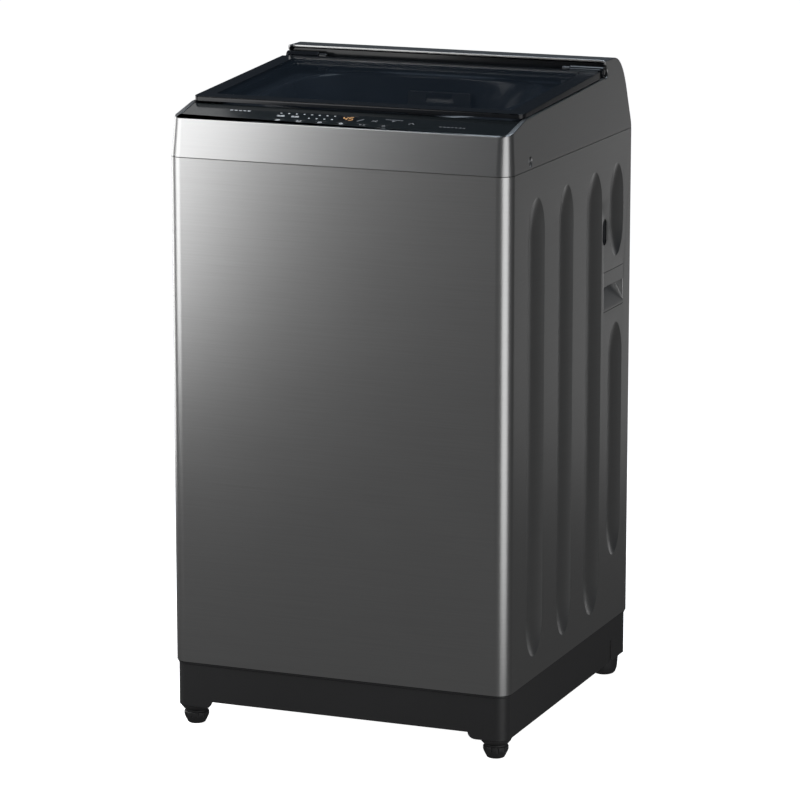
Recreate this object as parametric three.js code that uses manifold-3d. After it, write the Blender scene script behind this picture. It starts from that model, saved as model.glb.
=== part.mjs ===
// Top load washing machine: an assembly of separate pieces in millimetres, +Z up.
// X runs to the machine's right side, -Y is its front, and the origin is on the
// floor in the middle of the footprint.
import * as THREE from "three";
import { mergeVertices } from "three/addons/utils/BufferGeometryUtils.js";
import Module from "manifold-3d";

const wasm = await Module();
wasm.setup();

// ---------------------------------------------------------------- driving dimensions
const OVERALL_WIDTH = 540;
const OVERALL_DEPTH = 540;
const OVERALL_HEIGHT = 985;
const FOOT_HEIGHT = 30; // floor to the corner blocks of the base
const BASE_HEIGHT = 70;
const TOP_HEIGHT = 115; // cabinet seam to the top of the rear console

const GAP = 0.4; // between pieces that rest on each other
const FIT = 0.8; // around pieces that slide or turn
const SHEET = 0.8; // cabinet steel
const FRONT_CORNER = 22;
const REAR_CORNER = 4;
const REAR_FLANGE = 20;
const WELD = 1e-3; // vertices closer than this are one
const OVER = 5; // how far a cutting shape runs past what it cuts
const BEYOND = 60; // well outside the machine, for shapes that trim a whole side
const LAP = 0.2; // how far joined shapes run into each other
const ROUND = 36; // facets of the drums

const RIB_DEPTH = 9;
const RIB_TIP = 58; // length of a rib's rounded end
const RIB_TOP_DROP = 45;
const RIB_BOTTOM_RISE = 34;
const LONG_RIBS = [
  { fromRear: 427, width: 72 },
  { fromRear: 298, width: 64 },
  { fromRear: 172, width: 70 },
];
const SHORT_RIB = { fromRear: 70, width: 65, lowBottom: 106, underHandle: 23, overHandle: 18 };

const HANDLE = {
  fromRear: 80.5,
  width: 93,
  height: 62,
  drop: 208,
  depth: 28,
  sill: 6, // the slanted back starts this far above the lower edge
  lip: 23,
  lipThick: 7.5,
  wall: 2,
};
const PLUG = { fromRear: 124, width: 18, height: 40, drop: 145, depth: 5, flange: 3, sunk: 0.6 };

const BASE_INSET = 3;
const BASE_WALL = 3;
const BASE_RIM = 10; // stands up inside the cabinet
const BASE_RIM_WALL = 5;
const BASE_SHELF = 50;
const BASE_SHELF_DROP = 14;
const BASE_ARCH = { rise: 10, blockWidth: 60, slope: 12 };
const FOOT_INSET = 27;
const FOOT = {
  padRadius: 19,
  tipRadius: 12,
  shoulder: 13,
  padHeight: 21.5,
  studRadius: 6,
  studDrop: 20, // top of the stud below the base's top
};
const FOOT_COLLAR = { topRadius: 23.5, bottomRadius: 19, bottom: 22.3 };
const REAR_FOOT = { topRadius: 22, shoulderRadius: 20, tipRadius: 15, shoulder: 9 };
const VENT = { width: 7, height: 33, rise: 2, fromRear: 65 };

const TOP_WALL = 3;
const TOP_SKIN = 4; // thickness of the rims and of the console's top
const TOP_SIDE_LEAN = 8; // how far the walls lean inwards over TOP_HEIGHT
const TOP_FRONT_LEAN = 16;
const RIM_SIDE = 7;
const RIM_FRONT = 2.5;
const SKIRT = 10;
const FASCIA_HEIGHT = 57;
const RIM_FRONT_HEIGHT = 73;
const RIM_REAR_HEIGHT = 90;
const PANEL_RUN = 76; // front face to the lid's front edge
const SLOPE_START = 8; // front face to the foot of the panel's slope
const SLOPE_LAP = 4; // the slope ends this far under the lid
const OPENING_CORNER = 12;
const HINGE_FROM_REAR = 109;
const HINGE_HEIGHT = 98.5;
const NOTCH_CLEARANCE = 2; // around the hinge barrels
const NOTCH_START = 0.4 * Math.PI; // from the lip over a barrel
const NOTCH_END = -0.72 * Math.PI; // round below it, to the rim
const LIP_FROM_HINGE = 2; // the side walls reach over the barrels this far
const CONSOLE_FLAT = 42;
const CONSOLE_CURVE = { run: 12, drop: 64, corner: 23 };
const TOP_SCREW = {
  fromFront: 88,
  rise: 12,
  head: 4.6,
  headHeight: 2.6,
  shank: 2.2,
  length: 12,
  slotWidth: 0.8,
  slotDepth: 1.2,
  recess: 6.5,
  recessDepth: 5,
  keyhole: 3.9, // radius of the smaller hole that runs into the recess from below
  keyholeDrop: 4.55,
  boss: 11,
  bossDepth: 10,
};

const LID = {
  front: 7,
  rear: 12,
  border: 27,
  rearBorder: 22,
  glass: 4,
  glassSunk: 0.3,
  ledge: 7,
  corner: 12,
  paneCorner: 8,
};
const LID_EDGE = { run: 2, drop: 1.5 }; // chamfer of the front edge
const LID_LIFT = 0.8; // gap between the closed lid and the rim
const BARREL_RADIUS = 8.5;
const BARREL_LENGTH = 54;
const PIN_RADIUS = 3;
const EAR = { thick: 12, depth: 20, height: 12 };

const PANEL_THICK = 3;
const PANEL_REAR_GAP = 1.5;
const KEY = { width: 17, depth: 8, thick: 2.2, stem: 5, stemWidth: 4, travel: 1.2 };
const KEY_LINE = 15; // from the panel's front edge to the keys' middle
const KEY_PITCH = 33.4;
const FIRST_KEY_X = -102;
const KEY_NAMES = [
  "key_program",
  "key_water_level",
  "key_wash",
  "key_spin",
  "key_start_pause",
  "key_power",
];
const KEYS = KEY_NAMES.map((name, i) => ({ name, x: FIRST_KEY_X + i * KEY_PITCH }));
const DISPLAY = { x: 1, line: 36, width: 26, depth: 20, thick: 2 };
const BOARD = { x: -13, width: 250, depth: 34, thick: 1.6, drop: 12, beforeKeys: 8 };
const CHIP = { from: -15, width: 30, back: 12, depth: 15, tall: 4 };
const SOCKET = { from: 60, width: 25, back: 10, depth: 14, tall: 9 };

const DECK_DROP = 10;
const DECK_THICK = 3;
const DECK_WALL = { behindBarrel: 4.5, inset: 2 };
const FUNNEL_WALL = 2.5;
const MOUTH = { halfWidth: 205, halfDepth: 155, forward: 10, power: 3.2, above: 2 };
const THROAT_RADIUS = 160;
const THROAT_RISE = -4; // the funnel's lower end, from the cabinet seam

const DRAWER = { width: 96, height: 30, length: 88, wall: 2, rise: 23, plate: 3, plateLap: 4 };
const DRAWER_FROM_REAR = 125.5;
const HOUSING_WALL = 2;
const HOUSING_GAP = 2; // funnel to housing
const SPOUT = { halfWidth: 12, from: 30, length: 30 };

const TUB_SIDE_GAP = 27; // cabinet face to tub, which leaves room for the ribs
const TUB_WALL = 2.5;
const TUB_CHAMFER = 20;
const TUB_TOP_DROP = 55;
const DRIVE_SPACE = 135; // base top to tub floor
const COVER = { height: 23, lap: 43, out: 3, skirt: 8, rise: 6, wall: 3 };
const BASKET_GAP = 19;
const BASKET_SHEET = 0.8;
const SUMP = 22;
const BASKET_FLOOR = 6;
const BASKET_PAN = 34;
const BALANCE_RING = { height: 38, width: 31, belowTub: 3, outerEdge: 5, innerEdge: 8 };
const FILTER = { width: 70, height: 130, thick: 14, drop: 84 };
const PULSATOR = { radius: 150, edge: 5, dome: 24, lift: 8, wings: 3, wingHeight: 20 };
const CAP = { radius: 27, thick: 5 };

const SHAFT_RADIUS = 9;
const SLEEVE_RADIUS = 17;
const SLEEVE_WALL = 6;
const TUB_HOLE = SLEEVE_RADIUS + 3; // round the sleeve, in the tub and in its bracket
const CLUTCH = { radius: 58, length: 92, flange: 82, flangeThick: 8, shoulder: 12 };
const BRACKET = { width: 170, thick: 3 };
const PULLEY_RADIUS = 70;
const MOTOR_PULLEY_RADIUS = 17.5;
const PULLEY_FLANGE = 4;
const BELT = { width: 9, thick: 4.5, clearance: 1 };
const BELT_RISE = 6; // belt's middle above the base's top
const MOTOR = { distance: 150, radius: 54, length: 88, shaft: 6, nose: 27, noseLength: 10 };
const ROTOR_DEPTH = 50; // how far the rotor's shaft runs into the motor

const ROD_INSET = 48;
const ROD_RADIUS = 5;
const ROD_BALL = 12;
const GUSSET = { leg: 140, thick: 3, drop: 20, clip: 18 }; // clip clears the rounded corner
const LUG = { width: 36, thick: 20, rise: 92, beyondRod: 15, play: 2 };
const SPRING = { radius: 17, wire: 3, turns: 4.5, length: 74 };
const SEAT = { radius: 22, thick: 6 };

const VALVE = {
  x: 150,
  rise: 30,
  fromRear: 22,
  nozzle: 13,
  bore: 8,
  boreDepth: 6,
  body: 38,
  port: 8,
  portWall: 2.5,
  coilRadius: 12,
  coilHeight: 24,
  hole: 19,
};
const PIPE_END = 0.5; // pipes stop this far inside the rear face
const DRAIN = { x: -150, fromRear: 120, pipe: 15, bore: 11, bodyRadius: 30, bodyHeight: 42 };
const HOSE = { radius: 17, bore: 12, waves: 4, length: 62 };
const DRAIN_LINE_RISE = 34; // floor of the base to the drain line's axis
const SERVICE = {
  width: 300,
  height: 260,
  rise: 40,
  lap: 10,
  boss: 6,
  wall: 3,
  skin: 2,
  slots: 4,
  slotInset: 40,
  slotHeight: 8,
};
const GLAND = { x: 200, rise: 40, radius: 9, head: 13, neck: 12 };

// ---------------------------------------------------------------- levels and places
const halfWidth = OVERALL_WIDTH / 2;
const frontY = -OVERALL_DEPTH / 2;
const rearY = OVERALL_DEPTH / 2;
const baseTopZ = FOOT_HEIGHT + BASE_HEIGHT;
const seamZ = OVERALL_HEIGHT - TOP_HEIGHT;
const lidFrontY = frontY + PANEL_RUN;
const slopeFrontY = frontY + SLOPE_START;
const slopeRearY = lidFrontY + SLOPE_LAP;
const hingeY = rearY - HINGE_FROM_REAR;
const hingeZ = seamZ + HINGE_HEIGHT;
const rimFrontZ = seamZ + RIM_FRONT_HEIGHT;
const rimSlope = (RIM_REAR_HEIGHT - RIM_FRONT_HEIGHT) / (hingeY - lidFrontY);
const rimZ = (y) => rimFrontZ + rimSlope * (y - lidFrontY);
const lidHalfWidth = halfWidth - TOP_SIDE_LEAN;
const rimInnerX = halfWidth - (TOP_SIDE_LEAN * RIM_FRONT_HEIGHT) / TOP_HEIGHT - RIM_SIDE;
const tubRadius = Math.min(halfWidth, -frontY) - TUB_SIDE_GAP;
const tubFloorZ = baseTopZ + DRIVE_SPACE;
const tubTopZ = seamZ - TUB_TOP_DROP;
const basketRadius = tubRadius - TUB_WALL - BASKET_GAP;
const basketFloorZ = tubFloorZ + TUB_WALL + SUMP;
const basketTopZ = tubTopZ - BALANCE_RING.belowTub;
const beltZ = baseTopZ + BELT_RISE;
const rodX = halfWidth - ROD_INSET;
const rodY = -frontY - ROD_INSET;
const lugZ = tubFloorZ + LUG.rise;
const springTopZ = lugZ - GAP;
const springBottomZ = springTopZ - SPRING.length;
const drainY = rearY - DRAIN.fromRear;
const drainLineZ = FOOT_HEIGHT + DRAIN_LINE_RISE;
const sides = [
  { side: "left", sign: -1 },
  { side: "right", sign: 1 },
];
const corners = [
  { corner: "front_left", sx: -1, sy: -1 },
  { corner: "front_right", sx: 1, sy: -1 },
  { corner: "rear_left", sx: -1, sy: 1 },
  { corner: "rear_right", sx: 1, sy: 1 },
];

// ---------------------------------------------------------------- materials
function finish(color, metalness, roughness, extra = {}) {
  return () => new THREE.MeshStandardMaterial({ color, metalness, roughness, ...extra });
}
const titaniumPaint = finish(0x77787a, 0.7, 0.35);
const titaniumPlastic = finish(0x7a7b7d, 0.6, 0.36);
const blackGloss = finish(0x0e1113, 0, 0.12);
const blackPlastic = finish(0x1d1f21, 0, 0.5);
const plinthPlastic = finish(0x2a2a2b, 0, 0.55);
const smokedGlass = finish(0x1f262a, 0, 0.05, { transparent: true, opacity: 0.6 });
const tubPlastic = finish(0xc9ccce, 0, 0.5);
const stainless = finish(0xb8bcc0, 1, 0.25);
const zincSteel = finish(0x9a9da0, 0.9, 0.4);
const springSteel = finish(0x55585c, 0.9, 0.4);
const castAluminium = finish(0xa3a6a9, 0.8, 0.5);
const beltRubber = finish(0x161616, 0, 0.85);
const boardGreen = finish(0x1f5a35, 0, 0.55);
const whitePlastic = finish(0xe3e4e2, 0, 0.45);

// ---------------------------------------------------------------- solid helpers
function solid(geometry) {
  const plain = geometry.index ? geometry.toNonIndexed() : geometry.clone();
  plain.deleteAttribute("normal");
  plain.deleteAttribute("uv");
  const merged = mergeVertices(plain, WELD);
  const triVerts = new Uint32Array(merged.index.array);
  const vertProperties = merged.attributes.position.array;
  const made = new wasm.Manifold(new wasm.Mesh({ numProp: 3, vertProperties, triVerts }));
  if (made.volume() >= 0) return made;
  const turned = triVerts.slice().reverse();
  return new wasm.Manifold(new wasm.Mesh({ numProp: 3, vertProperties, triVerts: turned }));
}

function geometryOf(made) {
  const { vertProperties, triVerts, numProp } = made.getMesh();
  if (numProp !== 3) throw new Error("a solid should carry positions only");
  return new THREE.BufferGeometry()
    .setAttribute("position", new THREE.BufferAttribute(vertProperties, 3))
    .setIndex(new THREE.BufferAttribute(triVerts, 1));
}

const join = (first, ...others) => others.reduce((sum, next) => sum.add(next), first);
const cut = (first, ...others) => others.reduce((rest, next) => rest.subtract(next), first);

function piece(name, made, material, parent = machine) {
  const geometry = geometryOf(made).toNonIndexed();
  geometry.computeVertexNormals();
  const mesh = new THREE.Mesh(geometry, material());
  mesh.name = name;
  parent.add(mesh);
  return mesh;
}

const boxGeometry = (x0, x1, y0, y1, z0, z1) =>
  new THREE.BoxGeometry(x1 - x0, y1 - y0, z1 - z0)
    .translate((x0 + x1) / 2, (y0 + y1) / 2, (z0 + z1) / 2);
const box = (...limits) => solid(boxGeometry(...limits));

// A cylinder or cone along Z, from z0 to z1.
function cone(r0, r1, z0, z1, x = 0, y = 0, facets = 16) {
  const geometry = new THREE.CylinderGeometry(r1, r0, z1 - z0, facets)
    .rotateX(Math.PI / 2)
    .translate(x, y, (z0 + z1) / 2);
  return solid(geometry);
}
const cylinder = (r, z0, z1, x, y, facets) => cone(r, r, z0, z1, x, y, facets);

const cylinderX = (r, x0, x1, y, z, facets = 14) =>
  solid(
    new THREE.CylinderGeometry(r, r, x1 - x0, facets)
      .rotateZ(Math.PI / 2)
      .translate((x0 + x1) / 2, y, z),
  );
const cylinderY = (r, y0, y1, x, z, facets = 14) =>
  solid(new THREE.CylinderGeometry(r, r, y1 - y0, facets).translate(x, (y0 + y1) / 2, z));

// A solid of revolution about Z from [radius, z] points; a profile off the axis closes on itself.
function lathe(points, facets = ROUND, x = 0, y = 0) {
  const profile = points.map(([r, z]) => new THREE.Vector2(r, z));
  const onAxis = points[0][0] === 0 && points.at(-1)[0] === 0;
  if (!onAxis) profile.push(profile[0].clone());
  return solid(new THREE.LatheGeometry(profile, facets).rotateX(Math.PI / 2).translate(x, y, 0));
}

// A [y, z] outline drawn out along X.
function prismX(shape, x0, x1, curveSegments = 4) {
  const geometry = new THREE.ExtrudeGeometry(shape, {
    depth: x1 - x0,
    bevelEnabled: false,
    curveSegments,
  });
  const toX = new THREE.Matrix4().set(0, 0, 1, x0, 1, 0, 0, 0, 0, 1, 0, 0, 0, 0, 0, 1);
  return solid(geometry.applyMatrix4(toX));
}

function prismZ(points, z0, z1) {
  const shape = new THREE.Shape(points.map(([x, y]) => new THREE.Vector2(x, y)));
  const geometry = new THREE.ExtrudeGeometry(shape, { depth: z1 - z0, bevelEnabled: false });
  return solid(geometry.translate(0, 0, z0));
}

// An [x, z] outline drawn out along Y.
function prismY(points, y0, y1) {
  const shape = outlineShape(points);
  const geometry = new THREE.ExtrudeGeometry(shape, { depth: y1 - y0, bevelEnabled: false })
    .rotateX(Math.PI / 2)
    .translate(0, y1, 0);
  return solid(geometry);
}

const outlineShape = (points) => new THREE.Shape(points.map(([y, z]) => new THREE.Vector2(y, z)));

// A rectangle with rounded corners, front (low y) and rear ones apart, as [x, y] points.
function roundedRect(x0, x1, y0, y1, frontRadius, rearRadius, steps = 4) {
  const arc = (cx, cy, r, start) => {
    const count = r > REAR_CORNER ? steps : 1;
    return Array.from({ length: count + 1 }, (_, i) => {
      const angle = start + (i / count) * (Math.PI / 2);
      return [cx + r * Math.cos(angle), cy + r * Math.sin(angle)];
    });
  };
  const f = frontRadius;
  const r = rearRadius;
  return [
    ...arc(x0 + f, y0 + f, f, Math.PI),
    ...arc(x1 - f, y0 + f, f, -Math.PI / 2),
    ...arc(x1 - r, y1 - r, r, 0),
    ...arc(x0 + r, y1 - r, r, Math.PI / 2),
  ];
}

// The cabinet's plan, moved inwards.
function plan(inset, frontInset = inset, rearInset = inset) {
  const front = Math.max(FRONT_CORNER - inset, 1);
  const rear = Math.max(REAR_CORNER - inset, 1);
  const x = halfWidth - inset;
  return roundedRect(-x, x, frontY + frontInset, rearY - rearInset, front, rear);
}

// A solid between two outlines with the same number of points.
function loft(low, z0, high, z1) {
  const count = low.length;
  const position = [
    ...low.flatMap(([x, y]) => [x, y, z0]),
    ...high.flatMap(([x, y]) => [x, y, z1]),
  ];
  const index = [];
  const cap = (outline) =>
    THREE.ShapeUtils.triangulateShape(outline.map(([x, y]) => new THREE.Vector2(x, y)), []);
  cap(low).forEach(([a, b, c]) => index.push(c, b, a));
  cap(high).forEach(([a, b, c]) => index.push(count + a, count + b, count + c));
  for (let i = 0; i < count; i++) {
    const next = (i + 1) % count;
    index.push(i, next, count + next, i, count + next, count + i);
  }
  const geometry = new THREE.BufferGeometry()
    .setAttribute("position", new THREE.Float32BufferAttribute(position, 3))
    .setIndex(index);
  return solid(geometry);
}

function stadium(width, height) {
  const r = width / 2;
  const straight = height / 2 - r;
  const shape = new THREE.Shape();
  shape.absarc(0, straight, r, 0, Math.PI);
  shape.absarc(0, -straight, r, Math.PI, 2 * Math.PI);
  return shape;
}

const tilt = (geometry, angle, y, z) => geometry.rotateX(angle).translate(0, y, z);

// ---------------------------------------------------------------- cabinet
// A long pressed groove: a stretched ellipsoid centred on the wall's face.
function ribForm(x, y, bottom, top, width, depth) {
  const straight = top - bottom - 2 * RIB_TIP;
  const geometry = new THREE.CapsuleGeometry(1, straight / RIB_TIP, 2, 8)
    .rotateX(Math.PI / 2)
    .rotateZ(Math.PI / 8)
    .scale(depth, width / 2, RIB_TIP)
    .translate(x, y, (bottom + top) / 2);
  return solid(geometry);
}

function ribPlaces() {
  const top = seamZ - RIB_TOP_DROP;
  const bottom = baseTopZ + RIB_BOTTOM_RISE;
  const long = LONG_RIBS.map(({ fromRear, width }) => ({ y: rearY - fromRear, width, bottom, top }));
  const y = rearY - SHORT_RIB.fromRear;
  const { width } = SHORT_RIB;
  const handle = handleLimits(0);
  const lowTop = handle.z0 - SHORT_RIB.underHandle;
  const low = { y, width, bottom: baseTopZ + SHORT_RIB.lowBottom, top: lowTop };
  const high = { y, width, bottom: handle.z1 + SHORT_RIB.overHandle, top };
  return [...long, low, high];
}

function handleLimits(clearance) {
  const y = rearY - HANDLE.fromRear;
  const z = seamZ - HANDLE.drop - HANDLE.height;
  return {
    y0: y - HANDLE.width / 2 - clearance,
    y1: y + HANDLE.width / 2 + clearance,
    z0: z - clearance,
    z1: z + HANDLE.height + clearance,
  };
}

function plugForm(sign, width, height, depth, reach) {
  const shape = stadium(width, height);
  const x0 = sign > 0 ? halfWidth - depth : -halfWidth - reach;
  const x1 = sign > 0 ? halfWidth + reach : -halfWidth + depth;
  const placed = new THREE.Shape(
    shape.getPoints(5).map((p) => {
      p.x += rearY - PLUG.fromRear;
      p.y += seamZ - PLUG.drop;
      return p;
    }),
  );
  return prismX(placed, x0, x1);
}

// The corner plates that the suspension rods hang from; the rear ones stop short of the back panel.
function gusset({ sx, sy }) {
  const x = sx * (halfWidth - SHEET / 2);
  const y = sy < 0 ? frontY + SHEET / 2 : rearY - 2 * (SHEET + GAP);
  const z = seamZ - GUSSET.drop;
  const leg = GUSSET.leg;
  const { clip } = GUSSET;
  const outline = [
    [x - sx * leg, y],
    [x - sx * clip, y],
    [x, y - sy * clip],
    [x, y - sy * leg],
  ];
  const plate = prismZ(outline, z - GUSSET.thick, z);
  const hole = cylinder(ROD_RADIUS + FIT, z - BEYOND, z + BEYOND, sx * rodX, sy * rodY);
  return cut(plate, hole);
}

function cabinet() {
  const z0 = baseTopZ + GAP;
  const outer = prismZ(plan(0), z0, seamZ - GAP);
  const inner = prismZ(plan(SHEET), z0 - OVER, seamZ + OVER);
  const open = halfWidth - REAR_FLANGE;
  const rear = box(-open, open, rearY - OVER, rearY + OVER, z0 - OVER, seamZ + OVER);
  let shell = cut(outer, inner, rear);
  shell = join(shell, ...corners.map(gusset));
  for (const { sign } of sides) {
    const x = sign * halfWidth;
    const trim = sign > 0 ? box(0, x, frontY, rearY, z0, seamZ) : box(x, 0, frontY, rearY, z0, seamZ);
    for (const rib of ribPlaces()) {
      const pressed = ribForm(x, rib.y, rib.bottom - SHEET, rib.top + SHEET,
        rib.width + 2 * SHEET, RIB_DEPTH + SHEET);
      shell = shell.add(pressed.intersect(trim));
      shell = shell.subtract(ribForm(x, rib.y, rib.bottom, rib.top, rib.width, RIB_DEPTH));
    }
    const { y0, y1, z0: low, z1: high } = handleLimits(GAP);
    shell = shell.subtract(box(x - OVER, x + OVER, y0, y1, low, high));
    shell = shell.subtract(plugForm(sign, PLUG.width + 2 * GAP, PLUG.height + 2 * GAP, OVER, OVER));
  }
  piece("cabinet", shell, titaniumPaint);
}

// A grip let into the side: fingers slide up its slanted back and curl behind the lip.
function handleCup({ side, sign }) {
  const { y0, y1, z0, z1 } = handleLimits(0);
  const { depth, sill, lip, lipThick, wall } = HANDLE;
  const across = (points, from, to) =>
    prismY(points.map(([inwards, z]) => [sign * (halfWidth - inwards), z]), from, to);
  const body = across([[0, z0], [wall, z0], [depth, z1 - wall], [depth, z1], [0, z1]], y0, y1);
  const pocket = across([
    [-OVER, z0 + sill],
    [0, z0 + sill],
    [depth - wall, z1 - wall],
    [lipThick, z1 - wall],
    [lipThick, z1 - lip],
    [-OVER, z1 - lip],
  ], y0 + wall, y1 - wall);
  piece("handle_cup_" + side, cut(body, pocket), titaniumPlastic);
}

function sidePlug({ side, sign }) {
  const face = plugForm(sign, PLUG.width, PLUG.height, SHEET + GAP + 1, -PLUG.sunk);
  const lap = 2 * PLUG.flange;
  const flange = plugForm(sign, PLUG.width + lap, PLUG.height + lap, PLUG.depth, -SHEET - GAP);
  piece("side_plug_" + side, join(face, flange), blackPlastic);
}

function backPanel() {
  const x = halfWidth - SHEET - REAR_CORNER;
  const y1 = rearY - SHEET - GAP;
  const z0 = baseTopZ + BASE_RIM + GAP;
  const z1 = seamZ - SKIRT - GAP;
  const window = serviceWindow(GAP);
  const hole = GLAND.radius + GAP;
  const panel = cut(
    box(-x, x, y1 - SHEET, y1, z0, z1),
    box(-window.x, window.x, y1 - OVER, y1 + OVER, window.z0, window.z1),
    cylinderY(hole, y1 - OVER, y1 + OVER, GLAND.x, baseTopZ + GLAND.rise),
  );
  piece("back_panel", panel, zincSteel);
}

function serviceWindow(clearance) {
  const z = baseTopZ + SERVICE.rise;
  return {
    x: SERVICE.width / 2 + clearance,
    z0: z - clearance,
    z1: z + SERVICE.height + clearance,
  };
}

function serviceCover() {
  const { x, z0, z1 } = serviceWindow(0);
  const { lap, boss, wall, skin, slotInset, slotHeight } = SERVICE;
  const panelY = rearY - SHEET - GAP - SHEET;
  const plate = box(-x - lap, x + lap, rearY - SHEET, rearY, z0 - lap, z1 + lap);
  const block = box(-x, x, panelY - boss, rearY - SHEET, z0, z1);
  const inner = x - wall;
  const hollow = box(-inner, inner, panelY - boss - OVER, rearY - skin, z0 + wall, z1 - wall);
  const half = slotHeight / 2;
  const slotX = x - slotInset;
  const slots = Array.from({ length: SERVICE.slots }, (_, i) => {
    const z = z0 + (SERVICE.height * (i + 1)) / (SERVICE.slots + 1);
    return box(-slotX, slotX, rearY - skin - OVER, rearY + OVER, z - half, z + half);
  });
  piece("service_cover", cut(join(plate, block), hollow, ...slots), blackPlastic);
}

function cordGland() {
  const z = baseTopZ + GLAND.rise;
  const panelY = rearY - SHEET - GAP;
  const head = cylinderY(GLAND.head, panelY + GAP, rearY, GLAND.x, z);
  const neck = cylinderY(GLAND.radius, panelY - GLAND.neck, panelY + GAP + LAP, GLAND.x, z);
  const bore = cylinderY(GLAND.radius / 2, panelY - BEYOND, rearY + OVER, GLAND.x, z);
  piece("cord_gland", cut(join(head, neck), bore), blackPlastic);
}

// ---------------------------------------------------------------- base and feet
function footPlace(sx, sy) {
  return { x: sx * (halfWidth - FOOT_INSET), y: sy * (rearY - FOOT_INSET) };
}

function archCut(sy) {
  const z = FOOT_HEIGHT;
  const flat = halfWidth - BASE_INSET - BASE_ARCH.blockWidth;
  const { rise, slope } = BASE_ARCH;
  const points = [
    [-flat - slope, z - OVER],
    [flat + slope, z - OVER],
    [flat + slope, z],
    [flat, z + rise],
    [-flat, z + rise],
    [-flat - slope, z],
  ];
  const inner = sy * (rearY - FOOT_INSET);
  const outer = sy * (rearY + OVER);
  return prismY(points, Math.min(inner, outer), Math.max(inner, outer));
}

function baseFrame() {
  const z0 = FOOT_HEIGHT;
  const z1 = baseTopZ - GAP;
  const outer = prismZ(plan(BASE_INSET), z0, z1);
  const inner = prismZ(plan(BASE_INSET + BASE_WALL), z0 - OVER, z1 + OVER);
  const shelfZ = baseTopZ - BASE_SHELF_DROP;
  const shelf = cut(
    prismZ(plan(BASE_INSET + 1), shelfZ - BASE_WALL, shelfZ),
    prismZ(plan(BASE_SHELF), shelfZ - BASE_WALL - OVER, shelfZ + OVER),
  );
  const rimIn = SHEET + GAP;
  const rim = cut(
    prismZ(plan(rimIn), z1 - BASE_WALL, baseTopZ + BASE_RIM),
    prismZ(plan(rimIn + BASE_RIM_WALL), z1 - BASE_WALL - OVER, baseTopZ + BASE_RIM + OVER),
  );
  let base = join(cut(outer, inner), shelf, rim);
  base = cut(base, archCut(-1), archCut(1));
  for (const { sx, sy } of corners) {
    const { x, y } = footPlace(sx, sy);
    base = base.add(cylinder(FOOT_COLLAR.topRadius, z0, shelfZ, x, y));
    if (sy < 0) {
      const { topRadius, bottomRadius, bottom } = FOOT_COLLAR;
      base = base.add(cone(bottomRadius, topRadius, bottom, z0 + LAP, x, y));
      base = base.subtract(cylinder(FOOT.studRadius + FIT, 0, shelfZ + OVER, x, y));
    }
  }
  const ventY = rearY - VENT.fromRear;
  for (const { sign } of sides) {
    const x = sign * halfWidth;
    const through = BASE_INSET + BASE_WALL + OVER;
    const vent = box(x - through, x + through, ventY - VENT.width / 2, ventY + VENT.width / 2,
      z0 + VENT.rise, z0 + VENT.rise + VENT.height);
    base = base.subtract(vent);
  }
  base = base.subtract(cylinderY(DRAIN.pipe + GAP, rearY - 30, rearY + OVER, DRAIN.x, drainLineZ));
  piece("base_frame", base, plinthPlastic);
}

function levelingFoot({ side, sign }) {
  const { x, y } = footPlace(sign, -1);
  const { padRadius, tipRadius, shoulder, padHeight, studRadius, studDrop } = FOOT;
  const profile = [
    [0, 0],
    [tipRadius, 0],
    [padRadius, shoulder],
    [padRadius, padHeight],
    [studRadius, padHeight],
    [studRadius, baseTopZ - studDrop],
    [0, baseTopZ - studDrop],
  ];
  piece("leveling_foot_" + side, lathe(profile, 12, x, y), blackPlastic);
}

function rearFoot({ side, sign }) {
  const { x, y } = footPlace(sign, 1);
  const { topRadius, shoulderRadius, tipRadius, shoulder } = REAR_FOOT;
  const top = FOOT_HEIGHT - GAP;
  const profile = [
    [0, 0],
    [tipRadius, 0],
    [shoulderRadius, shoulder],
    [topRadius, top],
    [0, top],
  ];
  piece("rear_foot_" + side, lathe(profile, 20, x, y), blackPlastic);
}

// ---------------------------------------------------------------- top frame
// The side view of the top: fascia, slanted panel side, rim, hinge notch and console hump.
function topOutline(drop) {
  const notch = BARREL_RADIUS + NOTCH_CLEARANCE;
  const consoleY = hingeY + LIP_FROM_HINGE;
  const topZ = OVERALL_HEIGHT;
  const curveY = consoleY + CONSOLE_FLAT;
  const curveEnd = { y: rearY - CONSOLE_CURVE.run, z: topZ - CONSOLE_CURVE.drop };
  const shape = new THREE.Shape();
  shape.moveTo(frontY - BEYOND, seamZ - BEYOND - drop);
  shape.lineTo(rearY, seamZ - BEYOND - drop);
  shape.lineTo(rearY, seamZ - drop);
  shape.lineTo(curveEnd.y, curveEnd.z - drop);
  shape.quadraticCurveTo(rearY - CONSOLE_CURVE.corner, topZ - drop, curveY, topZ - drop);
  shape.lineTo(consoleY, topZ - drop);
  shape.absarc(hingeY, hingeZ - drop, notch, NOTCH_START, NOTCH_END, true);
  shape.lineTo(hingeY - notch, rimZ(hingeY - notch) - drop);
  shape.lineTo(slopeRearY, rimZ(slopeRearY) - drop);
  shape.lineTo(slopeFrontY, seamZ + FASCIA_HEIGHT - drop);
  shape.lineTo(frontY - BEYOND, seamZ + FASCIA_HEIGHT - drop);
  return shape;
}

function topBody(inset, drop) {
  const low = plan(inset);
  const side = TOP_SIDE_LEAN + inset;
  const high = plan(side, TOP_FRONT_LEAN + inset, inset);
  const leaning = loft(low, seamZ, high, OVERALL_HEIGHT);
  return leaning.intersect(prismX(topOutline(drop), -halfWidth - OVER, halfWidth + OVER));
}

function screwPlace(sign) {
  const z = seamZ + TOP_SCREW.rise;
  const face = halfWidth - (TOP_SIDE_LEAN * TOP_SCREW.rise) / TOP_HEIGHT;
  return { x: sign * face, y: frontY + TOP_SCREW.fromFront, z };
}

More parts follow.
